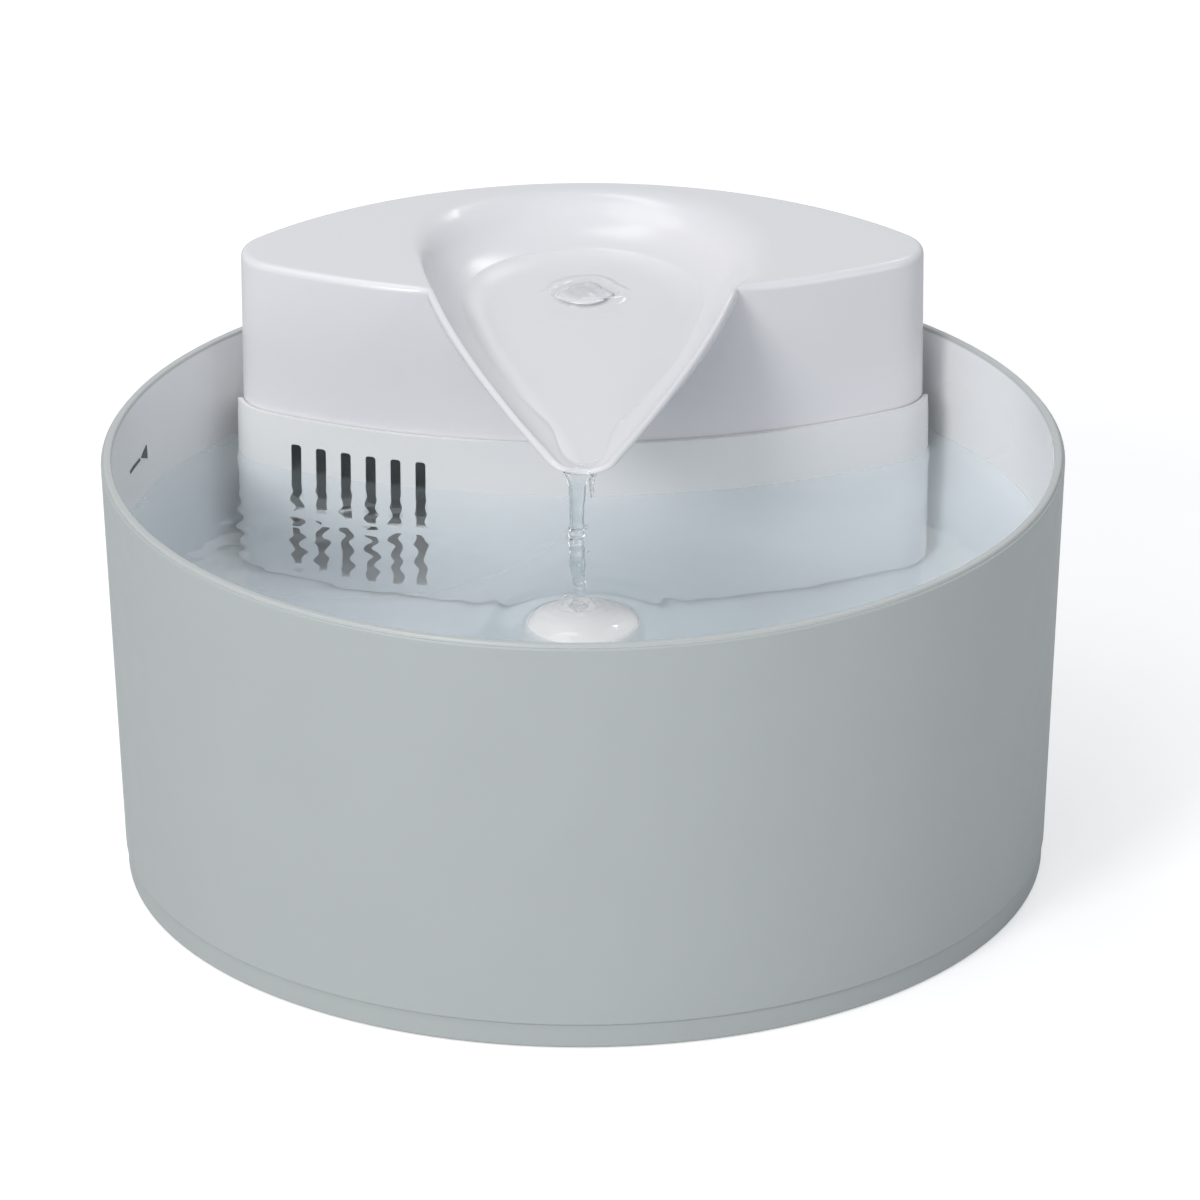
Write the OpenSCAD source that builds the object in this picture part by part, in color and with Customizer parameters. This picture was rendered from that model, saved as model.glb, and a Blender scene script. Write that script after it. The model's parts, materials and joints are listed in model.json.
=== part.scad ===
// Pet water fountain: a double-walled round bowl, a lens-shaped pump tower that lifts out of it,
// and a cover with a basin and a pouring lip. Millimetres, +Z up. The origin is the centre of the
// bowl on the surface that the rubber feet stand on. The lip pours towards -Y.

/* [Bowl] */
// Outer radius of the bowl at the rim
rim_r = 125; // [110:1:140]
// Height of the rim above the surface
bowl_h = 114; // [105:1:122]
// Outer radius of the coloured shell at its lower edge
shell_foot_r = 120.7; // [119:0.1:124]
// Thickness of the coloured shell
shell_t = 1.3; // [1:0.1:1.6]
// Thickness of the whole double wall at the rim
wall_t = 2.8; // [2.6:0.1:3.4]
// Height of the base plate's visible band
base_h = 7; // [6:0.5:8]
// Height of the inside floor of the bowl
floor_z = 10; // [9.5:0.1:11]

/* [Tower] */
// Height of the top of the cover
top_z = 142; // [138:1:148]
// Radius of the back of the cover, about the bowl's centre
back_r = 117.5; // [115:0.5:118]
// Radius of the front of the cover
front_r = 170; // [160:1:180]
// Distance of the cover's front from the bowl's centre
front_y = 36.8; // [36:0.1:37.6]
// Radius of the cover's two upright corners
corner_r = 13.4; // [10:0.5:15]
// Height of the housing's upper edge
housing_top_z = 100.4; // [99:0.2:102]
// How far the housing stands outside the cover
housing_step = 1.6; // [1.3:0.1:2]
// Wall thickness of the cover
cover_t = 2; // [1.6:0.1:2.4]
// Wall thickness of the housing
housing_t = 2.2; // [1.8:0.1:2.4]

/* [Water slots] */
// Number of slots in each row
slot_count = 6; // [3:1:6]
// Distance from slot to slot
slot_pitch = 6.6; // [5:0.1:6.6]
// Width of a slot
slot_w = 2.6; // [1.5:0.1:3]
// Height of a slot
slot_h = 33.5; // [20:0.5:33.5]
// Place of the slot next to the middle, across the tower
slot_last_x = -42.9; // [-44:0.1:-41]
// Height of the lower end of each row
slot_rows = [18.5, 59.5];

/* [Basin and lip] */
// Radius of the back of the basin
basin_r = 42; // [38:0.5:44]
// Distance of the basin's centre from the bowl's centre
basin_y = 66; // [64:0.5:68]
// Height of the basin floor under its centre
basin_floor_z = 129.2; // [128:0.1:132]
// Distance that the lip reaches in front of the bowl's centre
lip_y = 38; // [30:1:42]
// Half the width of the lip
lip_w = 6.2; // [6:0.1:9]
// Height of the lip's floor
lip_floor_z = 124.6; // [123:0.1:126]
// Height of the basin's edge at the lip
lip_edge_z = 126.4; // [126:0.1:128]
// Wall thickness of the basin
basin_t = 1.8; // [1.6:0.1:2.6]

/* [Splash column] */
// Distance of the column in front of the bowl's centre
column_y = 46; // [44:1:50]
// Radius of the column at its top
column_r = 15.2; // [14:0.1:16]
// Radius of the column at its foot
column_foot_r = 17.3; // [17:0.1:18]
// Height of the column's shoulder
column_z = 85.4; // [80:0.1:87]
// Height of its domed top above the shoulder
column_crown = 3.3; // [2:0.1:4]

/* [Filter] */
// Thickness of the filter cartridge
filter_t = 12; // [8:1:12]
// Place of the cartridge's middle, across the tower
filter_x = -30; // [-31:1:-30]
// Height of the cartridge
filter_h = 78; // [70:1:78]

/* [Pump] */
// Width of the pump
pump_w = 42; // [38:1:42]
// Height of the pump's shaft
shaft_z = 38; // [37:0.5:40]
// Distance of the pump's outlet from the bowl's centre
outlet_y = 66.5; // [66.5:0.1:67]
// Radius of the outlet's bore
outlet_r = 4.2; // [3.5:0.1:4.5]
// Radius of the impeller
impeller_r = 12.5; // [10:0.5:12.5]
// Number of blades
blade_count = 6; // [4:1:8]

/* [Hidden] */

$fn = 96;
eps = 0.01;

shell_colour = "#b0b7b6";
white = "#dfe1e4";
dark = "#3a3d40";
rubber = "#55595b";
steel = "#b9bcc0";

// Bowl
foot_lift = 0.3;
plate_t = 2.6;
plate_edge_r = 0.6;
plate_top = foot_lift + plate_t;
plate_r = shell_foot_r - 0.6;
plate_wall = 2.2;
tongue_h = 2.5;
wall_gap = 0.2;
wall_slope = (rim_r - shell_foot_r) / (bowl_h - base_h);
shell_top = bowl_h - 0.9;
rim_round = 0.6;
bowl_floor_t = 2;
bowl_corner_r = 5;
screw_ring_r = 70;
screw_r = 1.2;
screw_head_r = 3;
screw_head_h = 1.2;
boss_r = 3.6;
feet_ring_r = 96;
foot_r = 9;
foot_t = 2;
stud_r = 3;
stud_h = 3.2;
stud_x = 42;
stud_y = 76;

// Level mark, on the inside of the bowl's wall
mark_angle = 163.6;
mark_z = 97;
mark_len = 8.8;
mark_t = 0.25;
mark_band = 4;

// Tower: the tip circles touch the front and the back arc
front_cy = front_y + front_r;
tip_y = ((back_r - corner_r) ^ 2 - (front_r - corner_r) ^ 2 + front_cy ^ 2) / (2 * front_cy);
tip_x = sqrt((back_r - corner_r) ^ 2 - tip_y ^ 2);
ledge_z = 96;
ledge_t = 2;
ledge_in = 1.4;
fit = 0.3;
housing_back_r = 115;
housing_floor_z = floor_z + 2;
housing_floor_t = 2;
housing_foot_r = 4;
front_rim_y = 68;
housing_feet = [[66, 66], [30, 98], [20, 46]];
slot_cut_y = 75;
notch_y = 100;
edge_round = 2;
notch_w = 8;
cord_r = 2.7;
cord_z = bowl_h + 4.5;

// Basin outline: a half circle at the back, then a curve on each side to the straight lip
curve_1 = [basin_r, basin_y - 28];
curve_2 = [28, 5];
lip_corner = [lip_w, -lip_y];
back_steps = 20;
side_steps = 14;
lip_steps = 4;
basin_mid = [0, 50];
edge_slope_y = 40;
edge_slope = (top_z - lip_edge_z) / (edge_slope_y + lip_y);
floor_slope = (basin_floor_z - lip_floor_z) / (basin_y + lip_y);
fillet_share = 0.55;
edge_break = 0.7;
basin_rings = [1, 0.99, 0.965, 0.93, 0.88, 0.81, 0.73, 0.64, 0.55, 0.3];
clear_z = top_z + 8;
tube_seat_z = 112;
top_t = 2.2;

// Filter
filter_y0 = front_y + 6.8;
filter_y1 = 106;
frame_bar = 3;
lattice_t = 1.2;
fleece_t = 1.6;
filter_z0 = housing_floor_z + housing_floor_t;
filter_z1 = filter_z0 + filter_h;
rail_t = 2;
rail_l = 5;
tab_y = [64, 82];
tab_h = 9;

// Pump
pump_z0 = 18;
pump_z1 = 58;
pump_y0 = 60;
pump_y1 = 96;
boss_y = 57;
chamber_r = 14;
chamber_y1 = 70;
well_r = 7.6;
well_y1 = 90;
magnet_r = 7;
impeller_y = 60.6;
impeller_hub_r = 4.5;
magnet_y0 = 70.5;
magnet_y1 = 86.5;
shaft_r = 1;
shaft_clearance = 0.06;
bush_r = 3;
bush_len = 3;
chamber_cover_r = 16.5;
chamber_cover_t = 2.5;
inlet_r = 7.5;
spigot_r = 6;
spigot_top = 68;
intake_y0 = 46;
side_slot = [50, 26];
side_slot_pitch = 6;
side_slot_l = 6;
side_slot_h = 3;
intake_wall = 2;
dial_r = 11;
dial_t = 2.2;
dial_hole_r = 2.2;
dial_ring_r = 6.5;
dial_pin_r = 2;
cup_r = 6;
cup_x = [-14, 14];
cup_y = [66, 88];
cup_neck_r = 2;
cup_neck_h = 3;
gland_x = 12;
gland_z = 46;
gland_r = 3.6;
core_y = [74, 84];
yoke_z = [21.5, 26.5];
tube_wall = 2;
tube_z0 = 59;
tube_z1 = 124;
nozzle_flange_r = 7.6;

// Outer radius of the coloured shell at height z
function shell_r(z) = rim_r - wall_slope * (bowl_h - z);

// Radius of the liner's outer and inner face at height z
function liner_r(z) = shell_r(z) - shell_t - wall_gap;
function pool_r(z) = shell_r(z) - wall_t;

// Points of an arc about c, from angle a0 to a1
function arc(c, r, a0, a1, n) =
    [for (i = [0:n]) let (a = a0 + (a1 - a0) * i / n) c + r * [cos(a), sin(a)]];

// A point of the basin's right-hand curve, t from 0 at the half circle to 1 at the lip
function side_point(t) =
    (1 - t) ^ 3 * [basin_r, basin_y] + 3 * t * (1 - t) ^ 2 * curve_1
    + 3 * t ^ 2 * (1 - t) * curve_2 + t ^ 3 * lip_corner;

function mirrored(points) = [for (i = [len(points) - 1:-1:0]) [-points[i].x, points[i].y]];

// The basin's outline, counter-clockwise, seen from above
side = [for (i = [side_steps:-1:1]) side_point(i / side_steps)];
lip = [for (i = [1:lip_steps - 1]) [lip_w * (2 * i / lip_steps - 1), -lip_y]];
outline = concat(arc([0, basin_y], basin_r, 0, 180, back_steps), mirrored(side), lip, side);
n_outline = len(outline);

// The outline's outward normal at point i
function normal_at(i) =
    let (d = outline[(i + 1) % n_outline] - outline[(i + n_outline - 1) % n_outline])
    [d.y, -d.x] / norm(d);

// Height of the basin's floor and of its edge at a point of the plan
function floor_at(y) = lip_floor_z + floor_slope * (y + lip_y);
function edge_at(p) =
    let (line = top_z - edge_slope * max(0, edge_slope_y - p.y))
    let (on_lip = p.y < -lip_y + eps)
    on_lip ? floor_at(p.y) + (line - floor_at(p.y)) * (abs(p.x) / lip_w) ^ 2 : line;

// Share of the edge's height at the scaled outline s: 0 on the floor and 1 at the edge
function rise(s) =
    let (q = max(0, (s - fillet_share) / (1 - fillet_share)))
    1 - sqrt(max(0, 1 - q * q));

// One ring of the basin's surface: the outline moved out by off, scaled by s, lowered by drop
function basin_ring(s, off, drop) = [
    for (i = [0:n_outline - 1])
        let (p = outline[i] + off * normal_at(i))
        let (q = basin_mid + s * (p - basin_mid))
        let (low = floor_at(q.y) - drop)
        [q.x, q.y, low + (edge_at(outline[i]) - low) * rise(s)]
];

// The outline moved out by off, at its edge's height plus dz
function edge_ring(off, dz) = [
    for (i = [0:n_outline - 1])
        let (p = outline[i] + off * normal_at(i))
        [p.x, p.y, edge_at(outline[i]) + dz]
];

// A closed solid through rings of equal length, from the top one down to a middle point
module ring_solid(rings, top_point, bottom_point) {
    n = len(rings[0]);
    m = len(rings);
    points = concat([for (r = rings) each r], [top_point, bottom_point]);
    top = n * m;
    faces = concat(
        [for (i = [0:n - 1]) [top, (i + 1) % n, i]],
        [for (k = [0:m - 2], i = [0:n - 1])
            [k * n + i, k * n + (i + 1) % n, (k + 1) * n + (i + 1) % n]],
        [for (k = [0:m - 2], i = [0:n - 1])
            [k * n + i, (k + 1) * n + (i + 1) % n, (k + 1) * n + i]],
        [for (i = [0:n - 1]) [top + 1, (m - 1) * n + i, (m - 1) * n + (i + 1) % n]]
    );
    polyhedron(points, faces);
}

// The space inside the basin and above it
module basin_space() {
    above = [for (p = edge_ring(edge_break, 0)) [p.x, p.y, clear_z]];
    rings = concat(
        [above, edge_ring(edge_break, 0)],
        [for (s = basin_rings) s == 1 ? edge_ring(0, -edge_break) : basin_ring(s, 0, 0)]
    );
    ring_solid(rings, [basin_mid.x, basin_mid.y, clear_z],
               [basin_mid.x, basin_mid.y, floor_at(basin_mid.y)]);
}

// The basin's outer form, without its space
module basin_form() {
    rings = concat(
        [edge_ring(basin_t - edge_break, 0)],
        [for (s = basin_rings) s == 1 ? edge_ring(basin_t, -edge_break) : basin_ring(s, basin_t, basin_t)]
    );
    ring_solid(rings, [basin_mid.x, basin_mid.y, top_z],
               [basin_mid.x, basin_mid.y, floor_at(basin_mid.y) - basin_t]);
}

// The tower's plan as a prism: two arcs and two round tips, all moved in by d
module lens(d, z0, z1) {
    back_dir = [tip_x, tip_y] / norm([tip_x, tip_y]);
    front_dir = [tip_x, tip_y - front_cy] / norm([tip_x, tip_y - front_cy]);
    reach = 150;
    tip = [tip_x, tip_y];
    back_far = tip + reach * back_dir;
    front_far = tip + reach * front_dir;
    intersection() {
        translate([0, 0, z0])
            cylinder(r = back_r - d, h = z1 - z0, $fn = 240);
        translate([0, front_cy, z0])
            cylinder(r = front_r - d, h = z1 - z0, $fn = 240);
        translate([0, 0, z0 - 1])
            linear_extrude(z1 - z0 + 2)
                polygon([tip, back_far, [-back_far.x, back_far.y], [-tip.x, tip.y],
                         [-front_far.x, front_far.y], front_far]);
    }
    for (s = [-1, 1])
        translate([s * tip_x, tip_y, z0])
            cylinder(r = corner_r - d, h = z1 - z0, $fn = 80);
}

// The same plan as one closed ring of points, moved in by d
function lens_ring(d, z) =
    let (back_a = atan2(tip_y, tip_x))
    let (front_a = atan2(front_cy - tip_y, tip_x))
    let (points = concat(
        arc([0, 0], back_r - d, back_a, 180 - back_a, 48),
        arc([-tip_x, tip_y], corner_r - d, 180 - back_a, 180 + front_a, 18),
        arc([0, front_cy], front_r - d, 180 + front_a, 360 - front_a, 42),
        arc([tip_x, tip_y], corner_r - d, -front_a, back_a, 18)))
    [for (i = [0:len(points) - 1])
        if (norm(points[i] - points[(i + 1) % len(points)]) > 0.01) [each points[i], z]];

// The same prism in flat facets: between two heights, its upper edge rounded by e
module faceted_lens(d, z0, z1, e = 0) {
    steps = 4;
    middle = [0, (front_y + back_r) / 2];
    upper = e > 0 ? [for (i = [0:steps - 1]) 90 * i / steps] : [];
    rings = concat(
        [for (a = upper) lens_ring(d + e * (1 - sin(a)), z1 - e * (1 - cos(a)))],
        [lens_ring(d, z1 - e), lens_ring(d, z0)]
    );
    ring_solid(rings, [each middle, z1], [each middle, z0]);
}

// A block from its two corners
module block(a, b) {
    translate(a)
        cube(b - a);
}

// A tube or a drilled disc
module tube(r_out, r_in, h) {
    difference() {
        cylinder(r = r_out, h = h);
        translate([0, 0, -1])
            cylinder(r = r_in, h = h + 2);
    }
}

// Children turned so that their +Z points along +Y on the pump's shaft, starting at y
module on_shaft(y) {
    translate([0, y, shaft_z])
        rotate([-90, 0, 0])
            children();
}

// Children n times on a circle of radius r, the first one at the angle start
module around(n, r, start = 45) {
    for (i = [0:n - 1])
        rotate([0, 0, start + 360 * i / n])
            translate([r, 0, 0])
                children();
}

// ---- Bowl ----

// White liner: the pool, its lip over the shell, screw bosses below, studs and a ring inside
module inner_bowl() {
    under = floor_z - bowl_floor_t;
    outer_corner = bowl_corner_r + bowl_floor_t;
    corner_z = floor_z + bowl_corner_r;
    lip_r = shell_r(bowl_h) - 0.7;
    profile = concat(
        [[0, under]],
        arc([liner_r(corner_z) - outer_corner, corner_z], outer_corner, -90, 0, 8),
        [[liner_r(shell_top), shell_top], [lip_r, shell_top]],
        arc([lip_r - rim_round, bowl_h - rim_round], rim_round, 0, 90, 4),
        arc([pool_r(bowl_h) + rim_round, bowl_h - rim_round], rim_round, 90, 180, 4),
        arc([pool_r(corner_z) - bowl_corner_r, corner_z], bowl_corner_r, 0, -90, 8),
        [[0, floor_z]]
    );
    color(white) {
        difference() {
            union() {
                rotate_extrude($fn = 180)
                    polygon(profile);
                around(4, screw_ring_r)
                    translate([0, 0, plate_top])
                        cylinder(r = boss_r, h = under + 1 - plate_top);
                translate([0, -column_y, floor_z - 1])
                    tube(column_foot_r - 2.6, column_foot_r - 4.4, 9);
                for (s = [-1, 1])
                    translate([s * stud_x, stud_y, floor_z - 1])
                        cylinder(r = stud_r, h = stud_h + 1);
            }
            around(4, screw_ring_r)
                translate([0, 0, plate_top - 1])
                    cylinder(r = screw_r + 0.05, h = 5.4, $fn = 32);
        }
    }
}

// Coloured outer shell, an open sleeve
module outer_shell() {
    profile = concat(
        [[shell_r(base_h) - shell_t, base_h], [shell_r(base_h), base_h]],
        arc([shell_r(shell_top) - 0.5, shell_top - 0.5], 0.5, 0, 90, 4),
        [[shell_r(shell_top) - shell_t, shell_top]]
    );
    color(shell_colour)
        rotate_extrude($fn = 180)
            polygon(profile);
}

// Base plate: closes the double wall from below, with screw holes and recesses for the feet
module base_plate() {
    profile = concat(
        [[0, foot_lift]],
        arc([plate_r - plate_edge_r, foot_lift + plate_edge_r], plate_edge_r, -90, 0, 4),
        [
            [plate_r, base_h],
            [plate_r - 0.8, base_h],
            [plate_r - 0.8, base_h + tongue_h],
            [plate_r - plate_wall, base_h + tongue_h],
            [plate_r - plate_wall, plate_top],
            [0, plate_top]
        ]
    );
    color(shell_colour)
        difference() {
            rotate_extrude($fn = 180)
                polygon(profile);
            around(4, feet_ring_r)
                translate([0, 0, foot_lift - 1])
                    cylinder(r = foot_r + 0.1, h = 1 + foot_t - foot_lift);
            around(4, screw_ring_r) {
                translate([0, 0, foot_lift - 1])
                    cylinder(r = screw_head_r + 0.4, h = 1 + 1.4);
                cylinder(r = screw_r + 0.2, h = plate_top + 1, $fn = 32);
            }
        }
}

// Four self-tapping screws with cross recesses
module base_screws() {
    head_z = foot_lift + 1.4 - screw_head_h;
    color(steel)
        around(4, screw_ring_r)
            difference() {
                union() {
                    translate([0, 0, head_z])
                        cylinder(r = screw_head_r, h = screw_head_h, $fn = 48);
                    translate([0, 0, head_z])
                        cylinder(r = screw_r, h = 6, $fn = 32);
                }
                for (a = [0, 90])
                    rotate([0, 0, a])
                        block([-1.7, -0.35, head_z - 1], [1.7, 0.35, head_z + 0.7]);
            }
}

// Four rubber pads
module rubber_feet() {
    color(rubber)
        around(4, feet_ring_r)
            rotate_extrude()
                polygon(concat(
                    [[0, 0]],
                    arc([foot_r - 0.5, 0.5], 0.5, -90, 0, 4),
                    [[foot_r, foot_t], [0, foot_t]]
                ));
}

// Raised water-level mark on the pool's wall: a dash and a triangle that points at it
module level_mark() {
    low = mark_z - mark_band;
    high = mark_z + mark_band;
    ring = [
        [pool_r(low) - mark_t, low],
        [pool_r(low) + eps, low],
        [pool_r(high) + eps, high],
        [pool_r(high) - mark_t, high]
    ];
    color(rubber)
        intersection() {
            rotate_extrude($fn = 180)
                polygon(ring);
            rotate([0, 0, mark_angle])
                translate([pool_r(mark_z) - mark_band, 0, mark_z])
                    rotate([90, 0, 90])
                        linear_extrude(2 * mark_band) {
                            translate([0, -0.4])
                                square([mark_len, 0.8]);
                            polygon([[-1, 0], [-5.4, 1.9], [-5.4, -1.9]]);
                        }
        }
}

// ---- Splash column ----

// Hollow column that breaks the fall of the water. Its open foot slips over a ring on the floor
module splash_column() {
    e = 2.5;
    wall = 2;
    crown_r = (column_r ^ 2 + column_crown ^ 2) / (2 * column_crown);
    crown_c = [0, column_z + column_crown - crown_r];
    crown_a = asin((column_r - e) / crown_r);
    outer = concat(
        [[column_foot_r, floor_z]],
        arc([column_r - e, column_z - e + 0.9], e, 0, 68, 6),
        arc(crown_c, crown_r, 90 - crown_a, 90, 8)
    );
    inner = [
        [0, column_z + column_crown - wall],
        [column_r - wall - e, column_z - wall],
        [column_r - wall, column_z - e - wall],
        [column_foot_r - wall, floor_z]
    ];
    color(white)
        translate([0, -column_y, 0])
            difference() {
                rotate_extrude($fn = 120)
                    polygon(concat(outer, inner));
                around(3, 8, 90)
                    block([0, -4, floor_z - 1], [column_foot_r, 4, floor_z + 5]);
            }
}

// ---- Tower ----

// The housing's body in plan, moved in by d: flatter at the back, to clear the bowl's wall
module housing_plan(d, z0, z1) {
    intersection() {
        lens(d - housing_step, z0, z1);
        translate([0, 0, z0 - 1])
            cylinder(r = housing_back_r - d, h = z1 - z0 + 2, $fn = 240);
    }
}

// One slot, with small round corners, as a cutter through the front wall
module slot_cutter() {
    r = 0.8;
    rotate([90, 0, 0])
        linear_extrude(40) {
            translate([-slot_w / 2 + r, 0])
                square([slot_w - 2 * r, slot_h]);
            translate([-slot_w / 2, r])
                square([slot_w, slot_h - 2 * r]);
            for (x = [-1, 1], z = [r, slot_h - r])
                translate([x * (slot_w / 2 - r), z])
                    circle(r = r, $fn = 24);
        }
}

// Housing: a cup that stands on the bowl's floor and takes the pump and the filter. The cover stands on
// its ledge, behind a rim along the front
module pump_housing() {
    rail_x = [filter_x - filter_t / 2 - fit - rail_t, filter_x + filter_t / 2 + fit];
    inner_floor_z = housing_floor_z + housing_floor_t;
    color(white)
        difference() {
            union() {
                difference() {
                    housing_plan(0, housing_floor_z, ledge_z);
                    housing_plan(housing_t, inner_floor_z, ledge_z + 1);
                }
                difference() {
                    lens(-housing_step, ledge_z - ledge_t, housing_top_z);
                    lens(-fit, ledge_z, housing_top_z + 1);
                    intersection() {
                        lens(ledge_in, ledge_z - ledge_t - 1, ledge_z + 1);
                        translate([0, 0, ledge_z - ledge_t - 1])
                            cylinder(r = housing_back_r - housing_t, h = ledge_t + 2, $fn = 240);
                    }
                    block([-rim_r, front_rim_y, ledge_z], [rim_r, rim_r, housing_top_z + 1]);
                }
                intersection() {
                    housing_plan(housing_t - 0.5, inner_floor_z - 1, filter_z1);
                    for (x = rail_x) {
                        block([x, 0, inner_floor_z - 1], [x + rail_t, filter_y0 + rail_l, filter_z1]);
                        block([x, filter_y1 - rail_l, inner_floor_z - 1], [x + rail_t, back_r, filter_z1]);
                    }
                }
                for (s = [-1, 1], p = housing_feet)
                    translate([s * p.x, p.y, floor_z])
                        cylinder(r = housing_foot_r, h = inner_floor_z - 1 - floor_z);
            }
            for (z = slot_rows, i = [0:slot_count - 1])
                translate([slot_last_x - i * slot_pitch, slot_cut_y, z])
                    slot_cutter();
            for (s = [-1, 1])
                translate([s * stud_x, stud_y, floor_z - 1])
                    cylinder(r = stud_r + 0.4, h = inner_floor_z - floor_z + 2);
        }
}

// Upright slot with a round upper end around the cord, open at the bottom
module cord_notch(r, y0, y1, z0) {
    block([-r, y0, z0], [r, y1, cord_z]);
    translate([0, y0, cord_z])
        rotate([-90, 0, 0])
            cylinder(r = r, h = y1 - y0, $fn = 48);
}

// Cover: skirt and top of the tower in one piece with the basin, the lip and a spigot below.
// Its free-form basin runs into the skirt, so the whole piece is taken as one mesh, held to its width
module top_cover() {
    color(white)
        resize([2 * (tip_x + corner_r), 0, 0])
            difference() {
                union() {
                    difference() {
                        faceted_lens(0, ledge_z, top_z, edge_round);
                        faceted_lens(cover_t, ledge_z - 1, top_z - top_t);
                    }
                    basin_form();
                    translate([0, outlet_y, tube_seat_z])
                        cylinder(r = spigot_r, h = floor_at(outlet_y - spigot_r) - 0.5 - tube_seat_z);
                }
                basin_space();
                translate([0, outlet_y, tube_seat_z - 1])
                    cylinder(r = outlet_r, h = clear_z - tube_seat_z);
                cord_notch(notch_w / 2, notch_y, rim_r, ledge_z - 1);
            }
}

// Rubber edge of the slot at the back of the skirt, above the bowl's rim: the cord slips in from below
module cord_grommet() {
    r = notch_w / 2 - 0.05;
    inner_y = back_r - cover_t;
    color(rubber)
        difference() {
            union() {
                cord_notch(r, inner_y - 1.3, back_r, ledge_z);
                cord_notch(r + 1.2, inner_y - 1.3, inner_y - 0.15, ledge_z + 1);
                cord_notch(r + 1.2, back_r, back_r + 0.9, housing_top_z + fit);
            }
            cord_notch(cord_r, inner_y - 3, back_r + 3, ledge_z - 1);
        }
}

// Ring in the basin's floor that the water wells up through
module outlet_nozzle() {
    color(white)
        translate([0, outlet_y, floor_at(outlet_y)])
            rotate_extrude()
                polygon([
                    [outlet_r - 1.2, -8],
                    [outlet_r - 0.05, -8],
                    [outlet_r - 0.05, 0.2],
                    [nozzle_flange_r, 0.5],
                    [nozzle_flange_r - 1, 1.2],
                    [outlet_r - 0.2, 1.7],
                    [outlet_r - 1.2, 1.2]
                ]);
}

// Silicone tube from the pump's outlet to the basin
module riser_tube() {
    color("#e9ebec")
        translate([0, outlet_y, tube_z0])
            difference() {
                cylinder(r = spigot_r + fit + tube_wall, h = tube_z1 - tube_z0);
                translate([0, 0, -1])
                    cylinder(r = spigot_r + fit, h = 13);
                translate([0, 0, -1])
                    cylinder(r = spigot_r - 1, h = tube_z1 - tube_z0);
                translate([0, 0, tube_seat_z - tube_z0])
                    cylinder(r = spigot_r + 0.05, h = 20);
            }
}

// ---- Filter ----

// Frame of the cartridge with a lattice on both faces and a pull tab
module filter_frame() {
    x0 = filter_x - filter_t / 2;
    x1 = filter_x + filter_t / 2;
    y_in = [filter_y0 + frame_bar, filter_y1 - frame_bar];
    z_in = [filter_z0 + frame_bar, filter_z1 - frame_bar];
    color(white) {
        difference() {
            block([x0, filter_y0, filter_z0], [x1, filter_y1, filter_z1]);
            block([x0 - 1, y_in[0], z_in[0]], [x1 + 1, y_in[1], z_in[1]]);
        }
        for (x = [x0, x1 - lattice_t], i = [1:3]) {
            y = y_in[0] + (y_in[1] - y_in[0]) * i / 4;
            z = z_in[0] + (z_in[1] - z_in[0]) * i / 4;
            block([x, y - 0.8, z_in[0] - 1], [x + lattice_t, y + 0.8, z_in[1] + 1]);
            block([x, y_in[0] - 1, z - 0.8], [x + lattice_t, y_in[1] + 1, z + 0.8]);
        }
        difference() {
            block([filter_x - 1, tab_y[0], filter_z1 - 1], [filter_x + 1, tab_y[1], filter_z1 + tab_h]);
            block([filter_x - 2, tab_y[0] + 4, filter_z1 + 2.5],
                  [filter_x + 2, tab_y[1] - 4, filter_z1 + 6]);
        }
    }
}

// Two sheets of fleece, one behind each lattice
module filter_fleece() {
    x = [filter_x - filter_t / 2 + lattice_t, filter_x + filter_t / 2 - lattice_t - fleece_t];
    color("#f4f4f0")
        for (x0 = x)
            block([x0, filter_y0 + frame_bar, filter_z0 + frame_bar],
                  [x0 + fleece_t, filter_y1 - frame_bar, filter_z1 - frame_bar]);
}

// Bed of carbon between the two sheets
module filter_carbon() {
    inset = lattice_t + fleece_t;
    color("#2b2b2b")
        block([filter_x - filter_t / 2 + inset, filter_y0 + frame_bar, filter_z0 + frame_bar],
              [filter_x + filter_t / 2 - inset, filter_y1 - frame_bar, filter_z1 - frame_bar]);
}

// ---- Pump ----

// The core's two legs beside the rotor's well, joined by a yoke below
module core_form() {
    for (x = [-14, 8.6])
        block([x, core_y[0], yoke_z[0]], [x + 5.4, core_y[1], 46]);
    block([-9, core_y[0], yoke_z[0]], [9, core_y[1], yoke_z[1]]);
}

// The winding's outer form
module coil_form() {
    block([-7.6, core_y[0] - 2.5, yoke_z[0] - 2.1], [7.6, core_y[1] + 2.5, yoke_z[1] + 2.3]);
}

// Iron core
module stator_core() {
    color(steel)
        core_form();
}

// Copper winding on the yoke
module stator_coil() {
    color("#b5733c")
        difference() {
            coil_form();
            core_form();
        }
}

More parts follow.
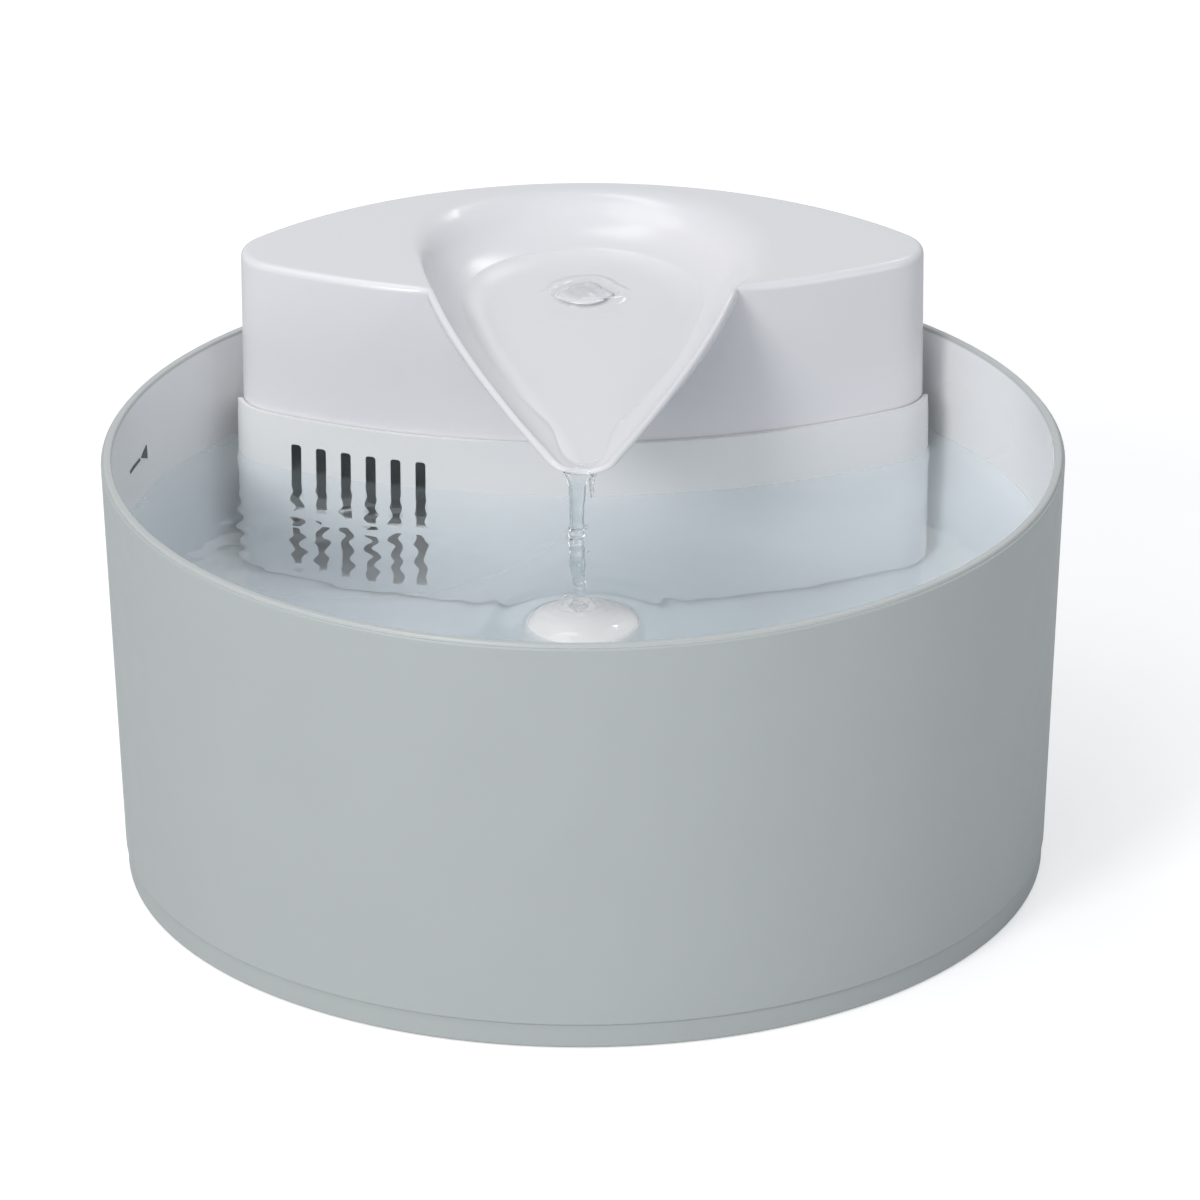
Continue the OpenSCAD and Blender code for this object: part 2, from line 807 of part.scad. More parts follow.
// Sealed pump body: impeller chamber, rotor well, outlet spigot and the potted stator's space
module pump_body() {
    half = pump_w / 2;
    boss = intake_wall + fit;
    color(dark)
        difference() {
            union() {
                block([-half, pump_y0, pump_z0], [half, pump_y1, pump_z1]);
                block([-half + boss, boss_y, pump_z0 + boss], [half - boss, pump_y0 + 1, pump_z1 - boss]);
                translate([0, outlet_y, pump_z1 - 1])
                    cylinder(r = spigot_r, h = spigot_top - pump_z1 + 1);
                translate([gland_x, pump_y1 - 1, gland_z])
                    rotate([-90, 0, 0])
                        cylinder(r = 6, h = 3);
            }
            on_shaft(boss_y - 1)
                cylinder(r = chamber_cover_r + 0.05, h = 1 + chamber_cover_t);
            on_shaft(boss_y)
                cylinder(r = chamber_r, h = chamber_y1 - boss_y);
            on_shaft(boss_y)
                cylinder(r = well_r, h = well_y1 - boss_y);
            translate([0, outlet_y, shaft_z + chamber_r - 3])
                cylinder(r = outlet_r, h = 40);
            core_form();
            coil_form();
            for (x = cup_x, y = cup_y)
                translate([x, y, pump_z0 - 1])
                    cylinder(r = cup_neck_r + 0.02, h = 1 + cup_neck_h, $fn = 48);
            translate([gland_x, pump_y1 - 6, gland_z])
                rotate([-90, 0, 0])
                    cylinder(r = gland_r, h = 12, $fn = 48);
        }
}

// Disc over the impeller chamber: the inlet, with three arms to the shaft's seat
module chamber_cover() {
    color(dark)
        on_shaft(boss_y) {
            tube(chamber_cover_r, inlet_r, chamber_cover_t);
            tube(bush_r + 1, bush_r, chamber_cover_t);
            for (a = [90, 210, 330])
                rotate([0, 0, a])
                    block([bush_r + 0.5, -0.9, 0], [inlet_r + 1, 0.9, chamber_cover_t]);
        }
}

// Fixed shaft
module pump_shaft() {
    color(steel)
        on_shaft(boss_y)
            cylinder(r = shaft_r, h = well_y1 - boss_y, $fn = 48);
}

// Rubber bushes that hold the shaft's two ends
module shaft_bushes() {
    color(rubber) {
        on_shaft(boss_y)
            tube(bush_r, shaft_r, bush_len);
        on_shaft(well_y1 - bush_len)
            tube(well_r, shaft_r, bush_len);
    }
}

// Impeller: hub and straight blades
module impeller() {
    color("#cfd3d6")
        on_shaft(impeller_y)
            difference() {
                union() {
                    cylinder(r = impeller_hub_r, h = magnet_y0 - impeller_y);
                    for (i = [0:blade_count - 1])
                        rotate([0, 0, i * 360 / blade_count])
                            block([3, -0.7, 0.4], [impeller_r, 0.7, 8]);
                    translate([0, 0, 8])
                        cylinder(r = impeller_r, h = 1);
                }
                translate([0, 0, -1])
                    cylinder(r = shaft_r + shaft_clearance, h = 20, $fn = 48);
            }
}

// Magnet rotor behind the impeller
module rotor_magnet() {
    color("#232323")
        on_shaft(magnet_y0)
            tube(magnet_r, shaft_r + shaft_clearance, magnet_y1 - magnet_y0);
}

// Front of the pump: slips over the body's rim, with intake holes and a pin for the dial
module intake_cover() {
    half = pump_w / 2;
    color(dark)
        difference() {
            union() {
                difference() {
                    block([-half, intake_y0, pump_z0], [half, pump_y0, pump_z1]);
                    block([-half + intake_wall, intake_y0 + intake_wall, pump_z0 + intake_wall],
                          [half - intake_wall, pump_y0 + 1, pump_z1 - intake_wall]);
                }
                on_shaft(intake_y0 - dial_t - 1.4)
                    cylinder(r = dial_pin_r, h = dial_t + 2.4, $fn = 48);
                on_shaft(intake_y0 - dial_t - 1.4)
                    cylinder(r = dial_pin_r + 0.9, h = 0.8, $fn = 48);
            }
            on_shaft(intake_y0 - 1)
                around(6, dial_ring_r, 0)
                    cylinder(r = dial_hole_r, h = 4, $fn = 32);
            for (x = [-half - 1, half - intake_wall - 1], i = [0:3])
                translate([x, side_slot.x, side_slot.y + i * side_slot_pitch])
                    cube([intake_wall + 2, side_slot_l, side_slot_h]);
        }
}

// Foam block that keeps hair out of the impeller
module intake_foam() {
    half = pump_w / 2 - intake_wall - 0.2;
    color("#8f9396")
        block([-half, intake_y0 + intake_wall + 0.2, pump_z0 + intake_wall + 0.2],
              [half, boss_y - 0.4, pump_z1 - intake_wall - 0.2]);
}

// Flow dial: its holes line up with the intake's holes, or close them
module flow_dial() {
    color("#cfd3d6")
        on_shaft(intake_y0 - fit - dial_t)
            difference() {
                union() {
                    cylinder(r = dial_r, h = dial_t);
                    for (a = [0:20:340])
                        rotate([0, 0, a])
                            block([dial_r - 0.5, -0.8, 0], [dial_r + 0.6, 0.8, dial_t]);
                }
                around(6, dial_ring_r, 0)
                    translate([0, 0, -1])
                        cylinder(r = dial_hole_r, h = dial_t + 2, $fn = 32);
                translate([0, 0, -1])
                    cylinder(r = dial_pin_r + 0.08, h = dial_t + 2, $fn = 48);
            }
}

// Four suction cups under the pump
module suction_cups() {
    z0 = housing_floor_z + housing_floor_t;
    neck_z = pump_z0 + cup_neck_h;
    color(rubber)
        for (x = cup_x, y = cup_y)
            translate([x, y, 0])
                rotate_extrude($fn = 48)
                    polygon([
                        [0, z0 + 1.4], [3.2, z0 + 0.8], [cup_r - 0.6, z0], [cup_r, z0],
                        [cup_r, z0 + 0.5], [3.4, z0 + 2.2], [3.4, pump_z0],
                        [cup_neck_r, pump_z0], [cup_neck_r, neck_z], [0, neck_z]
                    ]);
}

// Rubber gland where the cord enters the pump
module cable_gland() {
    color(rubber)
        translate([gland_x, pump_y1 - 4, gland_z])
            rotate([-90, 0, 0])
                rotate_extrude($fn = 48)
                    polygon([
                        [cord_r, 0], [gland_r, 0], [gland_r, 6], [5.2, 6],
                        [5.2, 7.4], [4, 7.4], [3.5, 13], [cord_r, 13]
                    ]);
}

inner_bowl();
outer_shell();
base_plate();
base_screws();
rubber_feet();
level_mark();
splash_column();
pump_housing();
top_cover();
cord_grommet();
outlet_nozzle();
riser_tube();
filter_frame();
filter_fleece();
filter_carbon();
pump_body();
chamber_cover();
pump_shaft();
shaft_bushes();
stator_core();
stator_coil();
suction_cups();
cable_gland();
impeller();
rotor_magnet();
intake_cover();
intake_foam();
flow_dial();
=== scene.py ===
import json
import math

import bpy
import numpy as np
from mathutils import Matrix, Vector


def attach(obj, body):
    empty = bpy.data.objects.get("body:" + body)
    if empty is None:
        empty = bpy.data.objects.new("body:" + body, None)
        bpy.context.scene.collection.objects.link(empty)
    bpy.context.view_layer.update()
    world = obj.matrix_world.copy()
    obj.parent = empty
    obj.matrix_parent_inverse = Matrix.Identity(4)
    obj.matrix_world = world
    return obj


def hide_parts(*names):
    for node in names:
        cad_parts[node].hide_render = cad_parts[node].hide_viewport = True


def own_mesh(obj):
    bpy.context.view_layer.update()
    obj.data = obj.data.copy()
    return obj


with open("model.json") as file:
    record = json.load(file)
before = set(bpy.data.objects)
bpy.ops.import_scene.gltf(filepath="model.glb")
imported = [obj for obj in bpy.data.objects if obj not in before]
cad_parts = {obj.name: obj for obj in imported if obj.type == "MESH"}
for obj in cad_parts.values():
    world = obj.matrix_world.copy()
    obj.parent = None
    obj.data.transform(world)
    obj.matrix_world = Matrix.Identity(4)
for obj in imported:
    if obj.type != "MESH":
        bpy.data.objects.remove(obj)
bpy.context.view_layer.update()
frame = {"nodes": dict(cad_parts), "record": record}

# The pet fountain's visual model: looks for the CAD's nodes, a smooth skin in place of the CAD's cover, the water
# as five pieces, and a white studio.

nodes = frame["nodes"]
scene = bpy.context.scene

# ---------------------------------------------------------------- sizes, in millimetres

MM = 0.001
METRE = 1000.0

# The bowl: its rim, the liner's wall, how far the wall leans out per millimetre of height, the fillet at its foot
RIM_R, BOWL_H, POOL_WALL, SLOPE = 125.0, 114.0, 2.8, 4.3 / 107.0
FOOT_Z, FOOT_R = 15.0, 5.0

# The tower in plan: a lens between an arc round the bowl's axis and a flatter one that crosses the middle line at
# FRONT_Y, with rounded tips
BACK_R, FRONT_R, FRONT_Y, TIP_R = 117.5, 170.0, 36.8, 13.4
FRONT_C = np.array([0.0, FRONT_Y + FRONT_R])
TIP = np.zeros(2)
TIP[1] = ((BACK_R - TIP_R) ** 2 - (FRONT_R - TIP_R) ** 2 + FRONT_C[1] ** 2) / (2 * FRONT_C[1])
TIP[0] = math.sqrt((BACK_R - TIP_R) ** 2 - TIP[1] ** 2)

# The cover's top and lower edge, and its walls. Nothing shown is backed by less than LEAST_T
TOP_Z, LEDGE_Z = 142.0, 96.0
WALL, SKIRT_T, TOP_T, LEAST_T = 1.8, 2.0, 2.2, 1.3

# The basin: half a circle behind BASIN_Y, then two curves to the lip, which ends at -LIP_Y and is LIP_W wide on
# each side of the middle line. Its floor falls evenly towards the lip. Its edge falls only in front of
# EDGE_FALLS_Y, from a bend softened over EDGE_BEND
BASIN_R, BASIN_Y, FLOOR_Z = 42.0, 66.0, 129.2
LIP_Y, LIP_W, LIP_FLOOR_Z, LIP_EDGE_Z = 38.0, 6.2, 124.6, 126.4
CURVE_1, CURVE_2 = np.array([42.0, 38.0]), np.array([28.0, 5.0])
EDGE_FALLS_Y, EDGE_BEND = 40.0, 2.0

# The middle of the cover's rings, and the share of the way from there to the edge on which the floor is flat
MID = np.array([0.0, 50.0])
FLAT = 0.55

# The outlet in the basin's floor, and the cord's slot in the back of the skirt
OUTLET_Y, OUTLET_R = 66.5, 4.2
CORD_Z, CORD_R = 118.5, 4.0

# The water's level, and how far the water reaches into what holds it. Then the column that stands in it, with
# the height of its shoulder and of the dome on that
WATER_Z, BITE = 85.0, 0.4
COLUMN_Y, COLUMN_R, COLUMN_Z, CROWN_H = -46.0, 15.2, 85.4, 3.3
CROWN_R = (COLUMN_R ** 2 + CROWN_H ** 2) / (2 * CROWN_H)

# The pool by the slots is clear up to CLEAR_TO from SLOTS_AT and milky with fine air from MILKY_FROM on. Its
# surface is lively round LIVELY_AT
SLOTS_AT, CLEAR_TO, MILKY_FROM = (-60.0, 28.0), 28.0, 62.0
LIVELY_AT, LIVELY_HALF = (-60.0, 22.0), (34.0, 30.0)

# ---------------------------------------------------------------- camera

# Seen from 23.9 degrees above the horizon and from far away, the bowl's axis a little left of the middle
ELEVATION, ROLL, DISTANCE = math.radians(23.93), math.radians(-0.26), 2.85917
AXIS_SHIFT, TARGET_Z = 0.00425, 0.07118
FOCAL_PX, FRAME_PX, SENSOR_W = 10961.66, 1200, 36

cam_data = bpy.data.cameras.new("camera")
cam_data.sensor_width = SENSOR_W
cam_data.lens = SENSOR_W * FOCAL_PX / FRAME_PX
cam_data.clip_start, cam_data.clip_end = 0.05, 50
cam = bpy.data.objects.new("camera", cam_data)
scene.collection.objects.link(cam)
cam.location = (AXIS_SHIFT, -DISTANCE * math.cos(ELEVATION), TARGET_Z + DISTANCE * math.sin(ELEVATION))
aim = Vector((AXIS_SHIFT, 0, TARGET_Z)) - cam.location
cam.rotation_euler = aim.to_track_quat("-Z", "Y").to_euler()
cam.rotation_euler.rotate_axis("Z", ROLL)
scene.camera = cam

# ---------------------------------------------------------------- materials

WATER_IOR = 1.333
# Colour sockets of the Mix node, which has one set for each kind of value
MIX_A, MIX_B, MIX_RESULT = 6, 7, 2


class Tree:
    """A material's node tree, with short ways to add and join nodes."""

    def __init__(self, name):
        self.mat = bpy.data.materials.new(name)
        self.mat.use_nodes = True
        self.nt = self.mat.node_tree
        self.shader = self.nt.nodes["Principled BSDF"]
        self.out = self.nt.nodes["Material Output"]
        self.place = self.add("ShaderNodeTexCoord").outputs["Object"]

    def add(self, kind, **values):
        node = self.nt.nodes.new(kind)
        for key, value in values.items():
            setattr(node, key, value)
        return node

    def link(self, a, b):
        self.nt.links.new(a, b)

    def noise(self, size, detail=3.0, rough=0.5):
        """Noise with features about size millimetres wide, 0 to 1."""
        node = self.add("ShaderNodeTexNoise")
        node.inputs["Scale"].default_value = METRE / size
        node.inputs["Detail"].default_value = detail
        node.inputs["Roughness"].default_value = rough
        self.link(self.place, node.inputs["Vector"])
        return node.outputs["Fac"]

    def spread(self, value, low, high, start=0.3, end=0.7):
        """The value's range from start to end, stretched to run from low to high."""
        node = self.add("ShaderNodeMapRange")
        node.inputs["From Min"].default_value = start
        node.inputs["From Max"].default_value = end
        node.inputs["To Min"].default_value = low
        node.inputs["To Max"].default_value = high
        self.link(value, node.inputs["Value"])
        return node.outputs["Result"]

    def mix(self, factor, a, b):
        node = self.add("ShaderNodeMix", data_type="RGBA")
        self.link(factor, node.inputs["Factor"])
        for socket, colour in ((MIX_A, a), (MIX_B, b)):
            if isinstance(colour, (tuple, list)):
                node.inputs[socket].default_value = (*colour, 1)
            else:
                self.link(colour, node.inputs[socket])
        return node.outputs[MIX_RESULT]

    def facing(self, low, high, start, end):
        """From low where the surface faces the eye to high where it is seen edge-on."""
        node = self.add("ShaderNodeLayerWeight")
        node.inputs["Blend"].default_value = 0.5
        return self.mix(self.spread(node.outputs["Facing"], 0, 1, start, end), low, high)

    def bump(self, height, depth, normal=None):
        """Bump of depth millimetres."""
        node = self.add("ShaderNodeBump")
        node.inputs["Strength"].default_value = 1
        node.inputs["Distance"].default_value = depth * MM
        self.link(height, node.inputs["Height"])
        if normal is not None:
            self.link(normal, node.inputs["Normal"])
        return node.outputs["Normal"]

    def bevel(self, radius):
        """Edges that look rounded to radius millimetres."""
        node = self.add("ShaderNodeBevel", samples=4)
        node.inputs["Radius"].default_value = radius * MM
        return node.outputs["Normal"]

    def by_ray(self, fac, usual, special):
        """Sends the usual shader to the output, and the special one for the rays that fac picks."""
        node = self.add("ShaderNodeMixShader")
        self.link(fac, node.inputs["Fac"])
        self.link(usual, node.inputs[1])
        self.link(special, node.inputs[2])
        self.link(node.outputs["Shader"], self.out.inputs["Surface"])


def srgb(r, g, b):
    """A colour from its 0 to 255 screen values."""
    return tuple(c / 12.92 if c <= 0.04045 else ((c + 0.055) / 1.055) ** 2.4 for c in (r / 255, g / 255, b / 255))


def toned(colour, factor):
    return tuple(c * factor for c in colour)


def moulded(name, colour, rough, vary=0.03, grain=0.004, grain_size=0.5, edge=0.35, spec=0.5, uneven=0.12,
            cloud=38, rim=None):
    """Moulded plastic or rubber: faint flow mottling, uneven gloss, a fine grain and softened edges. A rim is a
    band of painted shade, a second colour, with the heights between which it takes over."""
    t = Tree(name)
    s = t.shader
    light = tuple(min(1.0, c) for c in toned(colour, 1 + vary))
    colour_out = t.mix(t.spread(t.noise(cloud, 2), 0, 1), toned(colour, 1 - vary), light)
    # a band of painted shade, darker over a range of heights
    if rim:
        painted_shade_colour, start, end = rim
        split = t.add("ShaderNodeSeparateXYZ")
        t.link(t.place, split.inputs[0])
        height = split.outputs["Z"]
        colour_out = t.mix(t.spread(height, 0, 1, start * MM, end * MM), colour_out, painted_shade_colour)
    t.link(colour_out, s.inputs["Base Color"])
    # a nearly even gloss only has broad clouds in it
    gloss = t.noise(cloud / 4, 4) if uneven > 0.05 else t.noise(cloud, 1)
    t.link(t.spread(gloss, rough * (1 - uneven), rough * (1 + uneven)), s.inputs["Roughness"])
    normal = t.bevel(edge) if edge else None
    t.link(t.bump(t.noise(grain_size, 2, 0.6), grain, normal), s.inputs["Normal"])
    s.inputs["Specular IOR Level"].default_value = spec
    return t.mat


def metal(name, colour, rough, line=0.0):
    """Metal with fine drawing lines or a dull cast face."""
    t = Tree(name)
    s = t.shader
    t.link(t.mix(t.spread(t.noise(4, 4), 0, 1), toned(colour, 0.86), colour), s.inputs["Base Color"])
    t.link(t.spread(t.noise(0.6, 3), rough * 0.8, rough * 1.25), s.inputs["Roughness"])
    s.inputs["Metallic"].default_value = 1
    t.link(t.bump(t.noise(0.35, 2), 0.01 + line, t.bevel(0.2)), s.inputs["Normal"])
    return t.mat


def fibrous(name, colour, size, depth, painted_gap_shade=0.25):
    """Needle felt or open foam: crossing strands or cells, with painted shade in the gaps between them."""
    t = Tree(name)
    s = t.shader
    cells = t.add("ShaderNodeTexVoronoi", feature="DISTANCE_TO_EDGE")
    cells.inputs["Scale"].default_value = METRE / size
    # the cells are bent by a noise a few cells wide
    warp = t.add("ShaderNodeVectorMath", operation="MULTIPLY_ADD")
    wobble = t.add("ShaderNodeTexNoise")
    wobble.inputs["Scale"].default_value = 0.4 * METRE / size
    t.link(t.place, wobble.inputs["Vector"])
    t.link(wobble.outputs["Color"], warp.inputs[0])
    warp.inputs[1].default_value = (1.2 * size * MM,) * 3
    t.link(t.place, warp.inputs[2])
    t.link(warp.outputs["Vector"], cells.inputs["Vector"])
    strand = t.spread(cells.outputs["Distance"], 1, 0, 0.0, 0.28)
    # the gaps between strands are darkened as painted shade
    t.link(t.mix(strand, toned(colour, 1 - painted_gap_shade), colour), s.inputs["Base Color"])
    s.inputs["Roughness"].default_value = 0.95
    s.inputs["Sheen Weight"].default_value = 0.2
    t.link(t.bump(strand, depth), s.inputs["Normal"])
    return t.mat


def granules(name, colour, size=1.4):
    """Bed of carbon grains."""
    t = Tree(name)
    s = t.shader
    cells = t.add("ShaderNodeTexVoronoi")
    cells.inputs["Scale"].default_value = METRE / size
    t.link(t.place, cells.inputs["Vector"])
    tone = t.spread(cells.outputs["Color"], 0, 1, 0.2, 0.8)
    t.link(t.mix(tone, toned(colour, 0.5), toned(colour, 1.7)), s.inputs["Base Color"])
    s.inputs["Roughness"].default_value = 0.6
    t.link(t.bump(cells.outputs["Distance"], -0.5), s.inputs["Normal"])
    return t.mat


def winding(name, colour, wire=0.6):
    """Enamelled wire, wound in rows, with painted shade in the grooves between them."""
    t = Tree(name)
    s = t.shader
    wave = t.add("ShaderNodeTexWave", wave_type="BANDS", bands_direction="X", wave_profile="SIN")
    wave.inputs["Scale"].default_value = METRE / wire / (2 * math.pi)
    wave.inputs["Distortion"].default_value = 0.6
    wave.inputs["Detail Scale"].default_value = 1.5
    t.link(t.place, wave.inputs["Vector"])
    # the grooves between the rows of wire are darkened as painted shade
    t.link(t.mix(wave.outputs["Fac"], toned(colour, 0.35), colour), s.inputs["Base Color"])
    s.inputs["Metallic"].default_value = 0.85
    s.inputs["Roughness"].default_value = 0.3
    t.link(t.bump(wave.outputs["Fac"], 0.15), s.inputs["Normal"])
    return t.mat


def water(name, tint=None, edge=None, clear_tone=(1, 1, 1), bubbly=None):
    """Clear water, greyer where it is seen edge-on, as a painted dark reflection. Lamps shine through it on to
    what lies below. A tint is the colour and density of deep water. Bubbly gives how clear the water is by the
    slots and far from them."""
    t = Tree(name)
    s = t.shader
    # where it is seen edge-on the water takes a painted dark reflection
    t.link(t.facing(clear_tone, edge or clear_tone, 0.6, 1.0), s.inputs["Base Color"])
    s.inputs["Roughness"].default_value = 0.0
    s.inputs["IOR"].default_value = WATER_IOR
    s.inputs["Transmission Weight"].default_value = 1
    if bubbly:
        away = t.add("ShaderNodeVectorMath", operation="DISTANCE")
        away.inputs[1].default_value = (SLOTS_AT[0] * MM, SLOTS_AT[1] * MM, WATER_Z * MM)
        t.link(t.place, away.inputs[0])
        clear = t.spread(away.outputs["Value"], *bubbly, CLEAR_TO * MM, MILKY_FROM * MM)
        t.link(clear, s.inputs["Transmission Weight"])
    t.link(t.bump(t.noise(5, 1), 0.004), s.inputs["Normal"])
    # shadow and diffuse rays pass straight through
    path = t.add("ShaderNodeLightPath")
    unseen = t.add("ShaderNodeBsdfTransparent")
    through = t.add("ShaderNodeMath", operation="MAXIMUM")
    t.link(path.outputs["Is Shadow Ray"], through.inputs[0])
    t.link(path.outputs["Is Diffuse Ray"], through.inputs[1])
    t.by_ray(through.outputs[0], s.outputs["BSDF"], unseen.outputs["BSDF"])
    if tint:
        body = t.add("ShaderNodeVolumeAbsorption")
        body.inputs["Color"].default_value = (*tint[0], 1)
        body.inputs["Density"].default_value = tint[1]
        t.link(body.outputs["Volume"], t.out.inputs["Volume"])
    return t.mat


def lively_water(name, colour, line):
    """Water full of fine air bubbles, milky, with painted dark reflections as lines where it is seen edge-on."""
    t = Tree(name)
    s = t.shader
    # the line colour is a painted dark reflection, taken on where the surface is seen edge-on
    t.link(t.facing(colour, line, 0.72, 0.98), s.inputs["Base Color"])
    t.link(t.spread(t.noise(2.2, 2), 0.1, 0.22), s.inputs["Roughness"])
    s.inputs["IOR"].default_value = WATER_IOR
    s.inputs["Transmission Weight"].default_value = 0.35
    t.link(t.bump(t.noise(1.6, 2), 0.03), s.inputs["Normal"])
    return t.mat


# The cover's white is set darker than the other whites, as painted shade that tones down the stronger light on its
# top
COVER_WHITE_DIMMED = (0.815, 0.81, 0.835)
SAGE = srgb(182, 188, 187)
# Painted shade on the top of the liner's lip, which is drawn greyer than the liner: its colour, and the heights
# between which it takes over
LIP_TOP_PAINTED_SHADE = ((0.52, 0.545, 0.54), 112.9, 113.5)
smooth = {"vary": 0.006, "grain": 0.001, "grain_size": 1.2, "uneven": 0.03, "cloud": 70}
satin = {"vary": 0.012, "grain": 0.012, "grain_size": 0.35}
rubber = {"vary": 0.06, "grain": 0.02, "spec": 0.35}
looks = {
    "cover_white": moulded("cover_plastic", COVER_WHITE_DIMMED, 0.2, **smooth),
    "housing_white": moulded("housing_plastic", (0.86, 0.865, 0.87), 0.3, **smooth),
    "liner_white": moulded("liner_plastic", (0.90, 0.905, 0.915), 0.28, rim=LIP_TOP_PAINTED_SHADE, **smooth),
    "column_white": moulded("column_plastic", (0.86, 0.86, 0.855), 0.3, **smooth),
    "shell_sage": moulded("shell_plastic", SAGE, 0.48, edge=0.3, **satin),
    "base_sage": moulded("base_plastic", toned(SAGE, 0.97), 0.5, **satin),
    "filter_white": moulded("filter_plastic", (0.8, 0.8, 0.78), 0.4),
    "pump_dark": moulded("pump_plastic", (0.035, 0.038, 0.042), 0.42, vary=0.08, grain=0.02),
    "impeller_grey": moulded("impeller_plastic", (0.55, 0.58, 0.6), 0.38),
    "magnet_ferrite": moulded("ferrite", (0.03, 0.03, 0.032), 0.6, vary=0.15, grain=0.03),
    "foot_rubber": moulded("foot_rubber", (0.085, 0.095, 0.1), 0.75, **rubber),
    "grommet_rubber": moulded("grommet_rubber", (0.07, 0.075, 0.08), 0.7, **rubber),
    "silicone": moulded("silicone", (0.75, 0.77, 0.77), 0.35, vary=0.02, grain=0.006),
    "mark_grey": moulded("mark_print", (0.10, 0.105, 0.11), 0.5, vary=0.1, grain=0.002, edge=0),
    "core_iron": metal("core_iron", (0.42, 0.42, 0.43), 0.5, 0.02),
    "screw_steel": metal("screw_steel", (0.62, 0.63, 0.64), 0.3),
    "coil_copper": winding("coil_wire", (0.72, 0.32, 0.12)),
    "fleece": fibrous("fleece", (0.82, 0.82, 0.79), 0.9, 0.25),
    "foam_grey": fibrous("foam", (0.2, 0.22, 0.23), 1.6, 0.6, 0.6),
    "carbon": granules("carbon", (0.03, 0.03, 0.03)),
}
slot_of = {part["node"]: part["material_slot"] for part in frame["record"]["subparts"]}
for node, thing in nodes.items():
    thing.data.materials.clear()
    thing.data.materials.append(looks[slot_of[node]])

# Painted dark reflection for thin water where it is seen edge-on: its colour
EDGE_PAINTED_REFLECTION = (0.30, 0.38, 0.42)
pool_look = water("pool_water", tint=((0.25, 0.72, 0.82), 0.8), clear_tone=(0.845, 0.915, 0.947),
                  bubbly=(0.93, 0.67))
film_look = water("thin_water", edge=EDGE_PAINTED_REFLECTION)
# the spring's dark lines where it is seen edge-on are a painted dark reflection
spring_look = lively_water("lively_water", (0.90, 0.905, 0.93), (0.20, 0.22, 0.24))
# the stream's tone is greyed as painted shade, for the shaded parts seen through it
stream_look = water("stream_water", edge=EDGE_PAINTED_REFLECTION, clear_tone=(0.91, 0.935, 0.94))

# ---------------------------------------------------------------- mesh helpers

SHARP = math.radians(32)


def new_mesh(name, form):
    """A mesh object from a form, which is a pair of points in millimetres and faces."""
    points, faces = form
    mesh = bpy.data.meshes.new(name)
    mesh.from_pydata((np.asarray(points, float) * MM).tolist(), [], faces)
    piece = bpy.data.objects.new(name, mesh)
    scene.collection.objects.link(piece)
    return piece


def make(name, form, look, body, sharp=SHARP):
    """A piece of the model, smooth except at edges sharper than sharp."""
    piece = new_mesh(name, form)
    piece.data.validate()
    piece.data.shade_smooth()
    piece.data.set_sharp_from_angle(angle=sharp)
    piece.data.materials.append(look)
    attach(piece, body)
    return piece


def pour(name, form, look, body):
    """A piece of water, smooth all over."""
    return make(name, form, look, body, sharp=math.pi)


def cut(piece, form, name):
    """Takes a closed form out of a piece."""
    tool = new_mesh(name, form)
    change = piece.modifiers.new("cut", "BOOLEAN")
    change.operation, change.solver, change.object = "DIFFERENCE", "EXACT", tool
    bpy.context.view_layer.objects.active = piece
    with bpy.context.temp_override(object=piece, active_object=piece, selected_objects=[piece]):
        bpy.ops.object.modifier_apply(modifier=change.name)
    mesh = tool.data
    bpy.data.objects.remove(tool)
    bpy.data.meshes.remove(mesh)


def ring_at(xy, z):
    """Points over a ring in plan, at one height or at one height each."""
    return np.column_stack([xy, np.broadcast_to(z, len(xy))])


def circle(n, r, cx=0.0, cy=0.0):
    a = full_turn(n)
    return np.stack([cx + r * np.cos(a), cy + r * np.sin(a)], 1)


def full_turn(n):
    return np.linspace(0, 2 * math.pi, n, endpoint=False)


def skin(rows, top=None, bottom=None):
    """A form from rings of equal length, with a middle point above the first and below the last."""
    m, n = len(rows), len(rows[0])
    points = np.concatenate([np.asarray(r, float) for r in rows])
    faces = []
    for k in range(m - 1):
        a, b = k * n, (k + 1) * n
        faces += [(a + i, b + i, b + (i + 1) % n, a + (i + 1) % n) for i in range(n)]
    for middle, ring, flip in ((top, 0, False), (bottom, m - 1, True)):
        if middle is not None:
            c, a = len(points), ring * n
            points = np.vstack([points, middle])
            for i in range(n):
                j = (i + 1) % n
                faces.append((c, a + j, a + i) if flip else (c, a + i, a + j))
    return points, faces


def prism(outline, z0, z1):
    """A closed upright prism."""
    n = len(outline)
    points = np.vstack([ring_at(np.asarray(outline, float), z) for z in (z0, z1)])
    faces = [tuple(range(n))[::-1], tuple(range(n, 2 * n))]
    faces += [(i, (i + 1) % n, n + (i + 1) % n, n + i) for i in range(n)]
    return points, faces


def flipped(form):
    """The form with its faces turned over."""
    points, faces = form
    return points, [f[::-1] for f in faces]


def smooth_ring(values, sigma):
    """Values round a closed ring, smoothed over sigma samples."""
    k = np.arange(-int(4 * sigma) - 1, int(4 * sigma) + 2)
    w = np.exp(-0.5 * (k / sigma) ** 2)
    w /= w.sum()
    return sum(wi * np.roll(values, ki, axis=0) for ki, wi in zip(k, w))


def ramp(value, start, end):
    """0 at start, 1 at end, even between and level beyond."""
    return np.clip((value - start) / (end - start), 0, 1)


def hump(value, middle, width):
    """1 in the middle, fading out over about width on both sides."""
    return np.exp(-((value - middle) / width) ** 2)


# ---------------------------------------------------------------- the cover


